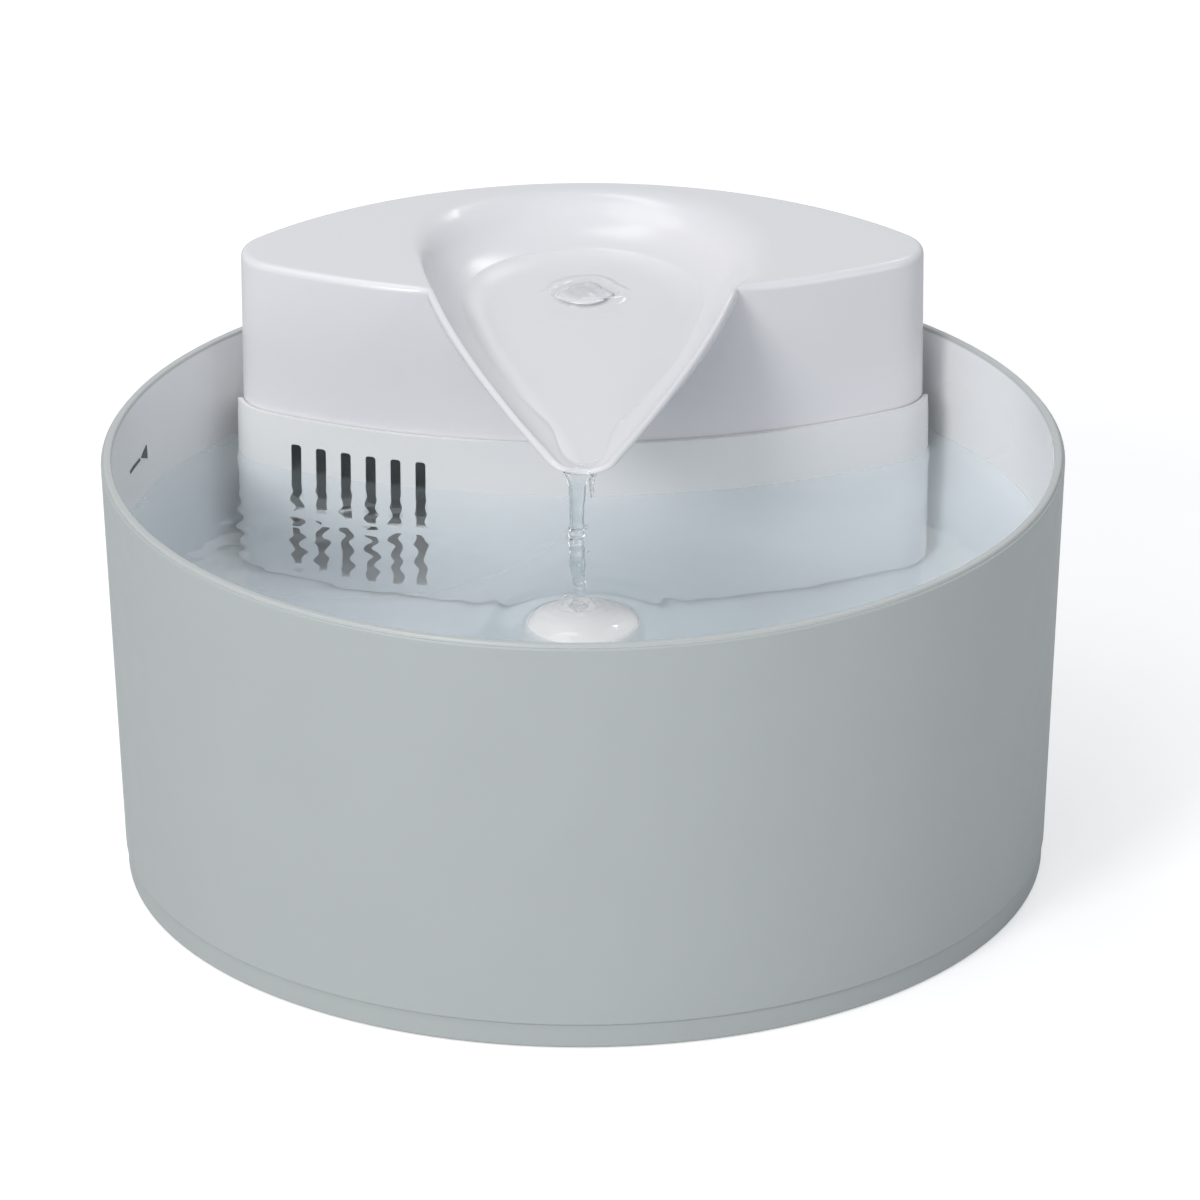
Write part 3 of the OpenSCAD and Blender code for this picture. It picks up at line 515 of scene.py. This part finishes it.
def lens_distance(p):
    """Signed distance from the tower's outline in plan, negative inside."""
    q = np.stack([np.abs(p[..., 0]), p[..., 1]], -1)
    back = TIP / np.linalg.norm(TIP)
    front = (TIP - FRONT_C) / np.linalg.norm(TIP - FRONT_C)
    d = q - TIP
    beyond = (d @ np.array([back[1], -back[0]]) > 0) & (d @ np.array([-front[1], front[0]]) > 0)
    arcs = np.maximum(np.linalg.norm(q, axis=-1) - BACK_R, np.linalg.norm(q - FRONT_C, axis=-1) - FRONT_R)
    return np.where(beyond, np.linalg.norm(d, axis=-1) - TIP_R, arcs)


def reach(direction, inset):
    """How far it is from MID to the tower's outline, moved in by inset."""
    beyond_all, halvings = 220.0, 40
    low, high = np.zeros(len(direction)), np.full(len(direction), beyond_all)
    for _ in range(halvings):
        mid = (low + high) / 2
        inside = lens_distance(MID + mid[:, None] * direction) < -inset
        low, high = np.where(inside, mid, low), np.where(inside, high, mid)
    return low


def floor_at(y):
    """Height of the basin's floor."""
    return LIP_FLOOR_Z + (FLOOR_Z - LIP_FLOOR_Z) / (BASIN_Y + LIP_Y) * (y + LIP_Y)


def basin_outline(count):
    """The basin's edge in plan, counter-clockwise from its right, with the normal and height at each point."""
    a = np.radians(np.linspace(0, 180, 400))
    back = np.stack([BASIN_R * np.cos(a), BASIN_Y + BASIN_R * np.sin(a)], 1)
    t = np.linspace(0, 1, 400)[1:, None]
    start, end = np.array([BASIN_R, BASIN_Y]), np.array([LIP_W, -LIP_Y])
    side = (1 - t) ** 3 * start + 3 * t * (1 - t) ** 2 * CURVE_1 + 3 * t ** 2 * (1 - t) * CURVE_2 + t ** 3 * end
    x = np.linspace(-LIP_W, LIP_W, 60)[1:-1]
    lip = np.stack([x, np.full(len(x), -LIP_Y)], 1)
    loop = np.concatenate([back, side * [-1, 1], lip, side[::-1]])
    x, y = loop[:, 0], loop[:, 1]
    fall = (TOP_Z - LIP_EDGE_Z) / (EDGE_FALLS_Y + LIP_Y)
    line = TOP_Z - fall * np.logaddexp(0, (EDGE_FALLS_Y - y) / EDGE_BEND) * EDGE_BEND
    # the lip's end dips from its corners to the floor
    share = np.where(y < -LIP_Y + 0.01, (np.abs(x) / LIP_W) ** 2, 1)
    height = floor_at(y) + (line - floor_at(y)) * share

    # points at even steps along the loop, rounded off a little at the lip's corners
    step = np.linalg.norm(np.roll(loop, -1, 0) - loop, axis=1)
    along = np.concatenate([[0], np.cumsum(step)])
    at = np.linspace(0, along[-1], count, endpoint=False)
    closed = np.vstack([loop, loop[:1]])
    p = np.stack([np.interp(at, along, closed[:, i]) for i in (0, 1)], 1)
    e = np.interp(at, along, np.append(height, height[0]))
    near_lip = ramp(p[:, 1], -20, -28)
    p = p + near_lip[:, None] * (smooth_ring(p, 2.2) - p)
    e = e + near_lip * (smooth_ring(e, 3.0) - e)
    d = np.roll(p, -1, 0) - np.roll(p, 1, 0)
    normal = smooth_ring(np.stack([d[:, 1], -d[:, 0]], 1), 1.5)
    return p, normal / np.linalg.norm(normal, axis=1)[:, None], e


def basin_scale(tau):
    """Scale of the basin's outline at the profile angle tau. Below 0 it runs along the flat floor."""
    return FLAT + (1 - FLAT) * np.where(tau > 0, np.sin(np.maximum(tau, 0)), tau)


def basin_angle(scale):
    """The profile angle at a scale of the basin's outline."""
    q = (scale - FLAT) / (1 - FLAT)
    return np.where(q > 0, np.arcsin(np.clip(q, 0, 1)), q)


def basin_point(edge, height, tau, drop):
    """A point of the basin's inner (drop 0) or outer surface under each point of its edge."""
    xy = MID + basin_scale(tau)[:, None] * (edge - MID)
    low = floor_at(xy[:, 1]) - drop
    return ring_at(xy, low + (height - low) * (1 - np.cos(np.maximum(tau, 0))))


class Cover:
    """Top, basin, lip and skirt as one closed skin. Its rings run from MID up the basin's wall, over the top,
    down the outside, and back inside to the basin's underside. They have a point for each point of the edge."""

    # The basin's edge is crisp on the left and in front, and rolls softly into the top at the back and on the
    # right: softest within SOFT_FULL radians of the bearing SOFT_AT, crisp beyond SOFT_END. The roll is TURN_R in
    # radius, and SOFT_R more where it is soft
    SOFT_AT, SOFT_FULL, SOFT_END = 0.75, 1.45, 2.35
    TURN_R, SOFT_R = 0.8, 4.4
    # The top's outer edge is rounded, on a narrow rim with a share of its width
    ROUND_SHARE, ROUND_R = 0.6, (1.05, 2.0)
    # The top reaches the tower's full height where it is this wide
    FULL_HEIGHT_W = 11.8
    # The skirt's lower edge: how far in from the outside, and how far over LEDGE_Z
    LEDGE = ((0.0, 0.5), (0.15, 0.14), (0.5, 0.0), (SKIRT_T - 0.3, 0.0), (SKIRT_T, 0.3))

    def __init__(self, count):
        self.edge, self.normal, self.edge_z = basin_outline(count)
        # the edge's line on the outer face of the basin's wall, with each point's distance and direction from MID
        self.outer_edge = self.edge + WALL * self.normal
        self.rim = np.linalg.norm(self.outer_edge - MID, axis=1)
        self.away = (self.outer_edge - MID) / self.rim[:, None]
        # in front the lip juts out over the tower's wall, and there the skin's outside is the lip's own
        self.wall = reach(self.away, 0)
        self.on_tower = self.wall > self.rim
        self.wall_xy = MID + self.wall[:, None] * self.away
        self.outer = np.where(self.on_tower[:, None], self.wall_xy, self.outer_edge)
        self.width = np.linalg.norm(self.outer - self.edge, axis=1)
        self.round_r = smooth_ring(np.clip(self.ROUND_SHARE * self.width, *self.ROUND_R), 3)
        level = self.edge_z + (TOP_Z - self.edge_z) * ramp(self.width, WALL, self.FULL_HEIGHT_W)
        self.high = np.where(self.on_tower, level, self.edge_z)
        self.hull_z = floor_at(self.outer_edge[:, 1]) - WALL
        self.rows = []

    def turn_radius(self):
        """Radius of the roll from the basin's wall into the top."""
        bearing = np.arctan2(self.edge[:, 1] - MID[1], self.edge[:, 0] - MID[0])
        soft = ramp(np.abs(bearing - self.SOFT_AT), self.SOFT_END, self.SOFT_FULL)
        soft = smooth_ring(soft * soft * (3 - 2 * soft), 6)
        turn = np.minimum(self.TURN_R + self.SOFT_R * soft, 0.36 * self.width)
        return smooth_ring(np.maximum(turn, 0.7), 4)

    def basin(self):
        """The basin's floor and concave wall, and the convex roll that leads on to the top."""
        for s in np.linspace(0.05, FLAT - 0.04, 9):
            self.rows.append(basin_point(self.edge, self.edge_z, np.full(len(self.edge), basin_angle(s)), 0))
        depth = np.maximum(self.edge_z - floor_at(self.edge[:, 1]), 0.05)
        # the wall ends, at the profile angle last, where the roll begins
        share = np.clip(self.turn_radius() / depth, 0, 0.75) * ramp(depth, 0.6, 3.1)
        last = np.arccos(smooth_ring(share, 2))
        for f in np.linspace(0, 1, 18):
            self.rows.append(basin_point(self.edge, self.edge_z, last * f, 0))

        # the roll is a curve that starts in the wall's slope and ends level
        start = self.rows[-1]
        rise = self.edge_z - start[:, 2]
        run = (1 - FLAT) * np.linalg.norm(self.edge - MID, axis=1)
        short = run * (1 - np.sin(last))
        slope = np.maximum(run * np.cos(last) / (depth * np.maximum(np.sin(last), 0.05)), 0)
        corner_out = np.minimum(rise * slope, 0.3 * self.width) - short
        room = np.maximum(self.width - self.round_r - 0.05, 0.2 * self.width)
        end_out = np.minimum(corner_out + np.hypot(rise, corner_out + short), room)
        corner = ring_at(self.edge + corner_out[:, None] * self.normal, self.edge_z)
        end = ring_at(self.edge + end_out[:, None] * self.normal, self.edge_z)
        for f in np.linspace(0, 1, 9)[1:]:
            self.rows.append((1 - f) ** 2 * start + 2 * f * (1 - f) * corner + f * f * end)

    def top(self):
        """From the end of the roll to the outer edge, and round it."""
        start = self.rows[-1][:, :2]
        turned = np.linalg.norm(start - MID, axis=1)
        straight_in = np.maximum(reach(self.away, self.round_r), turned + 0.1 * (self.wall - turned))
        on_tower = MID + straight_in[:, None] * self.away
        on_lip = self.outer_edge - self.round_r[:, None] * self.normal
        end = np.where(self.on_tower[:, None], on_tower, on_lip)
        for f in np.linspace(0, 1, 8)[1:]:
            eased = f * f * (3 - 2 * f)
            self.rows.append(ring_at(start + f * (end - start), self.edge_z + eased * (self.high - self.edge_z)))
        for a in np.radians(np.linspace(0, 90, 8)[1:]):
            xy = end + (self.outer - end) * math.sin(a)
            self.rows.append(ring_at(xy, self.high - self.round_r * (1 - math.cos(a))))

    def outside(self):
        """The tower's wall, or the hull under the lip down to where it meets the wall, and then the skirt."""
        depth = np.maximum(self.high - self.hull_z, 2)
        first = np.arccos(np.clip(self.round_r / depth, 0, 1))
        meet = np.minimum(basin_angle(np.minimum(self.wall / self.rim, 1)), first - 0.03)
        for f in np.linspace(0, 1, 16)[1:]:
            hull = basin_point(self.outer_edge, self.edge_z, first + f * (meet - first), WALL)
            straight = ring_at(self.outer, self.high - self.round_r - 2.0 * f)
            self.rows.append(np.where(self.on_tower[:, None], straight, hull))
        start = self.rows[-1]
        for f in np.linspace(0, 1, 12)[1:]:
            xy = start[:, :2] + f * (self.wall_xy - start[:, :2]) if f < 1 else self.wall_xy
            self.rows.append(ring_at(xy, start[:, 2] + f * (LEDGE_Z + self.LEDGE[0][1] - start[:, 2])))
        for inset, lift in self.LEDGE[1:]:
            self.rows.append(ring_at(MID + reach(self.away, inset)[:, None] * self.away, LEDGE_Z + lift))

    def beneath(self, row):
        """The row, lowered where it would come within LEAST_T of the surface shown above it."""
        for i in range(len(row)):
            over = np.interp(np.hypot(*(row[i, :2] - MID)), self.shown_r[:, i], self.shown_z[:, i])
            row[i, 2] = min(row[i, 2], over - LEAST_T)
        return row

    def underside(self):
        """Inside: up the skirt, along under the top, and along the basin's underside to its middle."""
        inner = reach(self.away, SKIRT_T)
        ceiling_z = TOP_Z - TOP_T
        depth = np.maximum(self.edge_z - self.hull_z, 2)
        flat = np.arccos(np.clip(1 - (ceiling_z - self.hull_z) / depth, 0, 1))
        begin = np.minimum(flat, basin_angle(np.minimum(inner / self.rim, 1)))
        under = basin_point(self.outer_edge, self.edge_z, begin, WALL)
        ceiling = np.where(inner > self.rim, ceiling_z, under[:, 2])
        start_z = LEDGE_Z + self.LEDGE[-1][1]
        for f in np.linspace(0, 1, 9)[1:]:
            self.rows.append(ring_at(MID + inner[:, None] * self.away, start_z + f * (ceiling - start_z)))
        upper = self.rows[-1]
        for f in (0.35, 0.7, 1):
            self.rows.append(self.beneath(upper + f * (under - upper)))
        stop = basin_angle(0.06)
        for f in np.linspace(0, 1, 18)[1:]:
            below = basin_point(self.outer_edge, self.edge_z, begin + f * (stop - begin), WALL)
            self.rows.append(self.beneath(below))

    def form(self):
        """All rings in their order, closed in the middle above and below."""
        self.basin()
        self.top()
        shown = np.array(self.rows)
        self.shown_r, self.shown_z = np.linalg.norm(shown[:, :, :2] - MID, axis=2), shown[:, :, 2]
        self.outside()
        self.underside()
        middle = floor_at(MID[1])
        return skin(self.rows, [*MID, middle], [*MID, middle - WALL])


cover = make("cover_skin", Cover(count=520).form(), looks["cover_white"], "cover")

# the cord's slot runs back through the skirt: a prism along z, tipped over to lie along y
a = np.radians(np.linspace(0, 180, 25))
arch = np.stack([CORD_R * np.cos(a), CORD_Z + CORD_R * np.sin(a)], 1)
points, faces = flipped(prism(np.vstack([arch, [[-CORD_R, 90], [CORD_R, 90]]]), 105, 125))
cut(cover, (points[:, [0, 2, 1]], faces), "cord_slot")
cut(cover, prism(circle(64, OUTLET_R, 0, OUTLET_Y), 110, 150), "bore")
cover.data.shade_smooth()
cover.data.set_sharp_from_angle(angle=SHARP)
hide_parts("top_cover")

# the spigot under the basin's floor, on which the riser tube sits: radius and height of its profile
profile = [(OUTLET_R, 128.0), (OUTLET_R, 112.0), (4.5, 111.8), (5.6, 111.8), (6.0, 112.3), (6.0, 128.0)]
spigot = [ring_at(circle(72, r, 0, OUTLET_Y), z) for r, z in profile + profile[:1]]
make("outlet_spigot", flipped(skin(spigot)), looks["cover_white"], "cover")

# ---------------------------------------------------------------- the pool


def pool_r(z):
    """Radius of the liner's inner wall."""
    return RIM_R - SLOPE * (BOWL_H - z) - POOL_WALL


def ripples(x, y):
    """Height of the pool's surface over its level: lively before the slots, calm elsewhere."""
    across, along = ((v - at) / half for v, at, half in zip((x, y), LIVELY_AT, LIVELY_HALF))
    lively = np.exp(-across ** 2 - along ** 2)
    # wave length, height, bearing in degrees, phase, and 1 for a wave that fades away from the slots
    waves = ((9.5, 0.085, 78, 0.4, 1), (12.5, 0.10, 118, 1.9, 1), (8.0, 0.060, 55, 3.1, 1),
             (17.0, 0.11, 96, 5.2, 1), (7.2, 0.045, 142, 2.2, 1), (31.0, 0.025, 20, 0.8, 0),
             (6.4, 0.03, 98, 4.4, 1), (26.0, 0.02, 70, 2.9, 0))
    h = np.zeros_like(x)
    for length, size, bearing, phase, local in waves:
        k, b = 2 * math.pi / length, math.radians(bearing)
        bend = 1.3 * np.sin(x / 31 + phase) + 1.1 * np.sin(y / 27 + 2 * phase)
        share = 1 - local + local * (0.05 + 1.1 * lively)
        h += share * size * np.sin(k * (x * math.cos(b) + y * math.sin(b)) + phase + bend)
    # rings that spread from the column
    past = np.hypot(x, y - COLUMN_Y) - COLUMN_R
    uneven = 0.5 * np.sin(3 * np.arctan2(y - COLUMN_Y, x))
    h += 0.11 * np.exp(-np.maximum(past, 0) / 13) * np.sin(2 * math.pi * past / 8.5 + uneven)
    return h


def meniscus(distance, height=0.9, width=2.0):
    """Rise of the water towards a wall at the given distance, long drawn out on the wall's far side."""
    return height * np.exp(-np.maximum(distance, 0) / width + np.minimum(distance, 0) / (6 * width))


def pool_form(rings=135, around=460):
    """Water that fills the bowl to its level, a little way into the walls that hold it."""
    wall = pool_r(WATER_Z)
    edge = wall + BITE
    angle = full_turn(around)
    housing_inset = 1.6
    rows = []
    for r in edge * np.linspace(0, 1, rings + 1)[1:] ** 0.92:
        xy = np.stack([r * np.cos(angle), r * np.sin(angle)], 1)
        x, y = xy[:, 0], xy[:, 1]
        h = ripples(x, y) * np.clip((edge - r) / 6, 0.25, 1)
        h += meniscus(wall - r) + meniscus(lens_distance(xy) - housing_inset, 0.6)
        h += meniscus(np.hypot(x, y - COLUMN_Y) - COLUMN_R - 0.05, 0.7)
        rows.append(ring_at(xy, WATER_Z + h))
    for z in (80, 60, 40, 20, FOOT_Z):
        rows.append(ring_at(circle(around, pool_r(z) + BITE), z))
    foot_r = FOOT_R + BITE
    for b in np.radians((-20, -45, -70, -90)):
        r = pool_r(FOOT_Z) - FOOT_R + foot_r * math.cos(b)
        rows.append(ring_at(circle(around, r), FOOT_Z + foot_r * math.sin(b)))
    middle = float(ripples(np.zeros(1), np.zeros(1))[0])
    return skin(rows, [0, 0, WATER_Z + middle], [0, 0, FOOT_Z - foot_r])


pour("pool_water", pool_form(), pool_look, "bowl")

# ---------------------------------------------------------------- the water on the cover

# The spring over the outlet: the bearing in degrees and the radius at each turn of its uneven outline
SPRING_X = 0.3
SPRING_OUTLINE = ((-24, 7.6), (0, 8.2), (21, 5.6), (52, 6.4), (73, 7.2), (95, 5.8), (120, 4.8), (164, 5.0),
                  (188, 7.4), (224, 6.5), (250, 6.8), (273, 6.4), (308, 5.8), (336, 7.6), (360, 8.2))


def spring_r(bearing):
    """Radius of the spring's outline at each bearing."""
    turns, radii = zip(*SPRING_OUTLINE)
    around = full_turn(360)
    ring = smooth_ring(np.interp(around, np.radians(turns), radii), 4)
    full = 2 * math.pi
    return np.interp(np.mod(bearing, full), np.append(around, full), np.append(ring, ring[0]))


def spring_swell(x, y):
    """Height the spring adds to the film: a gentle swell round it, and a narrow trough at its outline."""
    dx, dy = x - SPRING_X, y - OUTLET_Y
    b = np.arctan2(dy, dx)
    past = np.hypot(dx, dy) - spring_r(b)
    swell = (0.75 + 0.3 * np.sin(b + 2.6) + 0.2 * np.sin(3 * b)) * hump(past, 2.4, 2.0)
    return swell - (0.95 + 0.3 * np.sin(2 * b + 1)) * hump(past, 0.3, 0.85)


def spring_form(around=160):
    """The patch of lively water over the outlet, a low lumpy dome."""
    b = full_turn(around)
    edge = spring_r(b)

    def ring(f):
        return SPRING_X + f * edge * np.cos(b), OUTLET_Y + f * edge * np.sin(b)

    rows = []
    for f in np.linspace(0, 1, 30)[1:]:
        x, y = ring(f)
        dome = 1.15 * (1 - f ** 5)
        lumps = 0.25 * np.sin(0.9 * x + 0.6) * np.sin(0.7 * y) * (1 - f ** 4)
        lean = 0.3 * f * np.cos(b - 2.2) * (1 - f ** 6)
        rows.append(np.column_stack([x, y, floor_at(y) + 1.0 + (dome + lumps + lean)]))
    for f in (1.0, 0.6, 0.3):
        x, y = ring(f)
        rows.append(np.column_stack([x, y, floor_at(y) + 0.1]))
    h = floor_at(OUTLET_Y)
    return skin(rows, [SPRING_X, OUTLET_Y, h + 2.1], [SPRING_X, OUTLET_Y, h + 0.1])


def film_z(x, y):
    """Height of the film's surface: deepest in the basin, and a narrowing rounded strand from there to the lip."""
    depth = 1.5 - 0.5 * ramp(y, 20, -LIP_Y)
    half_width = 8.2 + 36 * ramp(y, -LIP_Y, 22) ** 1.15
    crown = np.clip(1 - ((x + 1.2) / half_width) ** 2, -0.6, 1)
    depth *= 1 + (crown - 1) * ramp(y, 25, 3)
    at_lip = depth * np.clip(0.85 + 0.025 * (y + LIP_Y), 0.8, 1)
    depth = np.where(y < -LIP_Y + 6, at_lip, depth)
    wave = 0.035 * np.sin(x / 5.1 + 0.8 * np.sin(y / 9)) * np.sin(y / 6.3 + 1)
    r, b = np.hypot(x - 0.8, y - OUTLET_Y), np.arctan2(y - OUTLET_Y, x)
    wave += 0.15 * np.exp(-np.maximum(r - 8, 0) / 7) * np.sin(r * 2 * math.pi / 6.5 + np.sin(2 * b))
    return floor_at(y) + depth + wave + spring_swell(x, y)


def film_form(count=360):
    """The sheet of water in the basin and down to the lip. Its end is a share of the way from MID to the edge: on
    the basin's wall it stops well before the edge, and it runs on to the lip's end."""
    on_wall, on_lip = 0.80, 0.995
    edge = basin_outline(count)[0]
    end = smooth_ring(np.where(edge[:, 1] < -LIP_Y + 1.5, on_lip, on_wall), 4)
    rows = []
    for f in np.linspace(0, 1, 115)[1:]:
        xy = MID + (f * end)[:, None] * (edge - MID)
        rows.append(ring_at(xy, film_z(xy[:, 0], xy[:, 1])))
    under = 0.7
    rows += [ring_at(r[:, :2], floor_at(r[:, 1]) - under) for r in rows[::-9]]
    h = floor_at(MID[1])
    return skin(rows, [*MID, h + 1.5], [*MID, h - under])


pour("basin_water", film_form(), film_look, "cover")
pour("spring_water", spring_form(), spring_look, "cover")

# ---------------------------------------------------------------- the stream and the column's film


def tube_along(path, half_wide, half_thick, twist, steps=32):
    """Rings of an oval cross-section along a path, closed at both ends."""
    rows = []
    t = full_turn(steps)
    for i in range(len(path)):
        d = path[min(i + 1, len(path) - 1)] - path[max(i - 1, 0)]
        d /= np.linalg.norm(d)
        across = np.array([1.0, 0, 0])
        across -= d * (across @ d)
        across /= np.linalg.norm(across)
        out = np.cross(across, d)
        c, s = math.cos(twist[i]), math.sin(twist[i])
        a, b = c * across + s * out, -s * across + c * out
        rows.append(path[i] + np.outer(half_wide[i] * np.cos(t), a) + np.outer(half_thick[i] * np.sin(t), b))
    return skin(rows, path[0], path[-1])


def jet():
    """The jet: over the lip, down in a flat bow, with a waist, bulges and two broken stretches."""
    f = np.linspace(0, 1, 140)
    over, fall = ramp(f, 0, 0.1), ramp(f, 0.09, 1)
    # the path, which wavers more the further it has fallen
    x = -1.5 + 0.4 * np.sin(9 * f) * fall + 0.12 * np.sin(31 * f) * fall
    y = -LIP_Y - 1.9 * over - 3.9 * np.sqrt(fall) + 0.2 * np.sin(14 * f) * fall
    z = LIP_FLOOR_Z + 0.15 - 0.1 * over ** 3 - 35.95 * fall ** 1.12
    # half the width and half the thickness
    wide = 2.0 + 1.6 * np.exp(-fall / 0.07) * (0.8 + 0.2 * over)
    wide = wide + 0.2 * np.sin(26 * f + 1) * fall + 0.15 * np.sin(53 * f) * fall
    thick = 0.65 - 0.1 * over + 0.95 * np.sqrt(fall)
    thick = thick + 0.2 * np.sin(22 * f + 2) * fall + 0.12 * np.sin(61 * f) * fall
    broken = hump(f, 0.55, 0.06) + 0.5 * hump(f, 0.85, 0.05)
    wide += 0.35 * np.sin(120 * f) * broken
    thick += 0.3 * np.sin(97 * f + 1) * broken
    spread_on_column = (1.15, 1.4, 1.8)
    for size in (wide, thick):
        size[-3:] *= spread_on_column
    return tube_along(np.stack([x, y, z], 1), wide, thick, 1.5 * np.sin(5 * f) * fall)


def thread():
    """A thin second thread that leaves the lip on the right and tapers out."""
    f = np.linspace(0, 1, 26)
    path = np.stack([2.6 - 0.5 * f + 0.15 * np.sin(9 * f), -39.0 - 1.6 * f ** 0.6, 124.2 - 6.2 * f ** 1.3], 1)
    size = 0.55 * (1 - f) ** 0.5 + 0.2 + 0.1 * np.sin(17 * f)
    size[-1] = 0.15
    return tube_along(path, size * 1.1, size * 0.8, 0 * f, 16)


def drop(x, y, z, r, tall=1.25, tip=1.3):
    """A drop, a little taller than wide."""
    rows = [ring_at(circle(12, r * math.cos(b), x, y), z + tall * r * math.sin(b))
            for b in np.radians(np.linspace(75, -75, 7))]
    return skin(rows, [x, y, z + tip * r], [x, y, z - tip * r])


def joined(forms):
    """Several forms as one."""
    all_points, all_faces, base = [], [], 0
    for points, faces in forms:
        all_points.append(points)
        all_faces.extend(tuple(base + v for v in f) for f in faces)
        base += len(points)
    return np.vstack(all_points), all_faces


# drops that have come off the jet: x, y, z and radius
DROPS = ((0.9, -42.6, 110.5, 0.5), (-4.0, -42.8, 107.6, 0.35), (1.4, -42.9, 103.4, 0.45),
         (-4.6, -44.5, 92.0, 0.5), (2.2, -44.6, 91.6, 0.4))
stream = pour("falling_water", joined([jet(), thread(), *(drop(*d) for d in DROPS)]), stream_look, "cover")
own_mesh(stream)


def column_film_form(around=96):
    """Water that spreads over the column's domed top, raised in a ring round the place where the stream hits."""
    film_r, hit_x, hit_y = 14.2, -1.3, -43.2

    def dome(r):
        return COLUMN_Z + CROWN_H - CROWN_R + np.sqrt(CROWN_R ** 2 - r ** 2)

    angle = full_turn(around)
    rows = []
    for r in np.linspace(0, film_r, 44)[1:]:
        xy = circle(around, r, 0, COLUMN_Y)
        hit = np.hypot(xy[:, 0] - hit_x, xy[:, 1] - hit_y)
        h = 0.55 + 0.9 * hump(hit, 3.2, 1.0) + 0.35 * np.exp(-hit / 5) * np.sin(hit * 2.4)
        h += 0.12 * np.sin(5 * angle + r / 2) * (r / 14)
        rows.append(ring_at(xy, dome(r) + h * min((film_r - r) / 1.6, 1) - 0.03))
    for r in (14.0, 9.0, 4.0):
        rows.append(ring_at(circle(around, r, 0, COLUMN_Y), dome(r) - 0.5))
    return skin(rows, [0, COLUMN_Y, 89.4], [0, COLUMN_Y, 88.1])


pour("column_water", column_film_form(), film_look, "splash")

# ---------------------------------------------------------------- floor, light and world

# Lamps: tones and aims. Places, aims and sizes are in metres, powers in watts
COOL, MILD, WARM, PLAIN = (0.98, 0.985, 1.0), (0.985, 0.985, 1.0), (1.0, 0.985, 0.975), (1.0, 1.0, 1.0)
BOWL_AT, BASIN_AT = (0, 0, 0.08), (0, 0.09, 0.13)
# Floor: half its width in millimetres, and how much it glows for the camera. Sky: colour and strength
FLOOR_HALF, FLOOR_GLOW = 9000, 0.5
SKY, SKY_STRENGTH = (0.90, 0.94, 1.0), 0.29


def area(name, place, aim_at, size, power, colour):
    data = bpy.data.lights.new(name, "AREA")
    data.shape, data.size, data.size_y = "RECTANGLE", size[0], size[1]
    data.energy, data.color = power, colour
    lamp = bpy.data.objects.new(name, data)
    scene.collection.objects.link(lamp)
    lamp.location = place
    lamp.rotation_euler = (Vector(aim_at) - Vector(place)).to_track_quat("-Z", "Y").to_euler()


area("top", (-1.2, -0.3, 2.15), BOWL_AT, (1.5, 1.5), 13.2, COOL)
area("glint", (-0.46, 0.68, 2.24), BASIN_AT, (0.75, 0.5), 3.8, COOL)
area("key", (-1.15, -1.76, 1.44), (0, 0.03, 0.08), (0.6, 0.6), 17, WARM)
area("front", (-0.96, -2.07, 0.9), BOWL_AT, (1.2, 0.7), 11, MILD)
area("fill", (1.75, -1.22, 1.0), BOWL_AT, (1.2, 1.2), 8.2, (0.97, 0.985, 1.0))
area("back", (0.56, 1.54, 1.66), (0, 0.08, 0.13), (0.45, 0.25), 2.6, PLAIN)

# the floor takes the object's shadow, and glows only for the camera, so that it looks white
corners = [(sx * FLOOR_HALF, sy * FLOOR_HALF, 0) for sx, sy in ((-1, -1), (1, -1), (1, 1), (-1, 1))]
ground = new_mesh("floor", (corners, [(0, 1, 2, 3)]))
t = Tree("floor_white")
t.link(t.mix(t.spread(t.noise(60, 2), 0, 1), (0.80,) * 3, (0.82,) * 3), t.shader.inputs["Base Color"])
t.shader.inputs["Roughness"].default_value = 0.9
t.shader.inputs["Specular IOR Level"].default_value = 0.1
glow = t.add("ShaderNodeEmission")
glow.inputs["Strength"].default_value = FLOOR_GLOW
total = t.add("ShaderNodeAddShader")
t.link(t.shader.outputs["BSDF"], total.inputs[0])
t.link(glow.outputs["Emission"], total.inputs[1])
seen = t.add("ShaderNodeLightPath").outputs["Is Camera Ray"]
t.by_ray(seen, t.shader.outputs["BSDF"], total.outputs["Shader"])
ground.data.materials.append(t.mat)

# the world is white to the eye, in gloss and through water, and a dim sky where it lights the object
world = bpy.data.worlds.new("studio")
scene.world = world
world.use_nodes = True
wn, wl = world.node_tree.nodes, world.node_tree.links
path = wn.new("ShaderNodeLightPath")
looked_at = path.outputs["Is Camera Ray"]
for kind in ("Is Glossy Ray", "Is Transmission Ray"):
    either = wn.new("ShaderNodeMath")
    either.operation = "MAXIMUM"
    wl.new(looked_at, either.inputs[0])
    wl.new(path.outputs[kind], either.inputs[1])
    looked_at = either.outputs[0]
sky, plain = wn["Background"], wn.new("ShaderNodeBackground")
sky.inputs["Color"].default_value = (*SKY, 1)
sky.inputs["Strength"].default_value = SKY_STRENGTH
plain.inputs["Color"].default_value = (1, 1, 1, 1)
plain.inputs["Strength"].default_value = 1.0
pick = wn.new("ShaderNodeMixShader")
wl.new(looked_at, pick.inputs["Fac"])
wl.new(sky.outputs["Background"], pick.inputs[1])
wl.new(plain.outputs["Background"], pick.inputs[2])
wl.new(pick.outputs["Shader"], wn["World Output"].inputs["Surface"])

scene.view_settings.view_transform = "Standard"
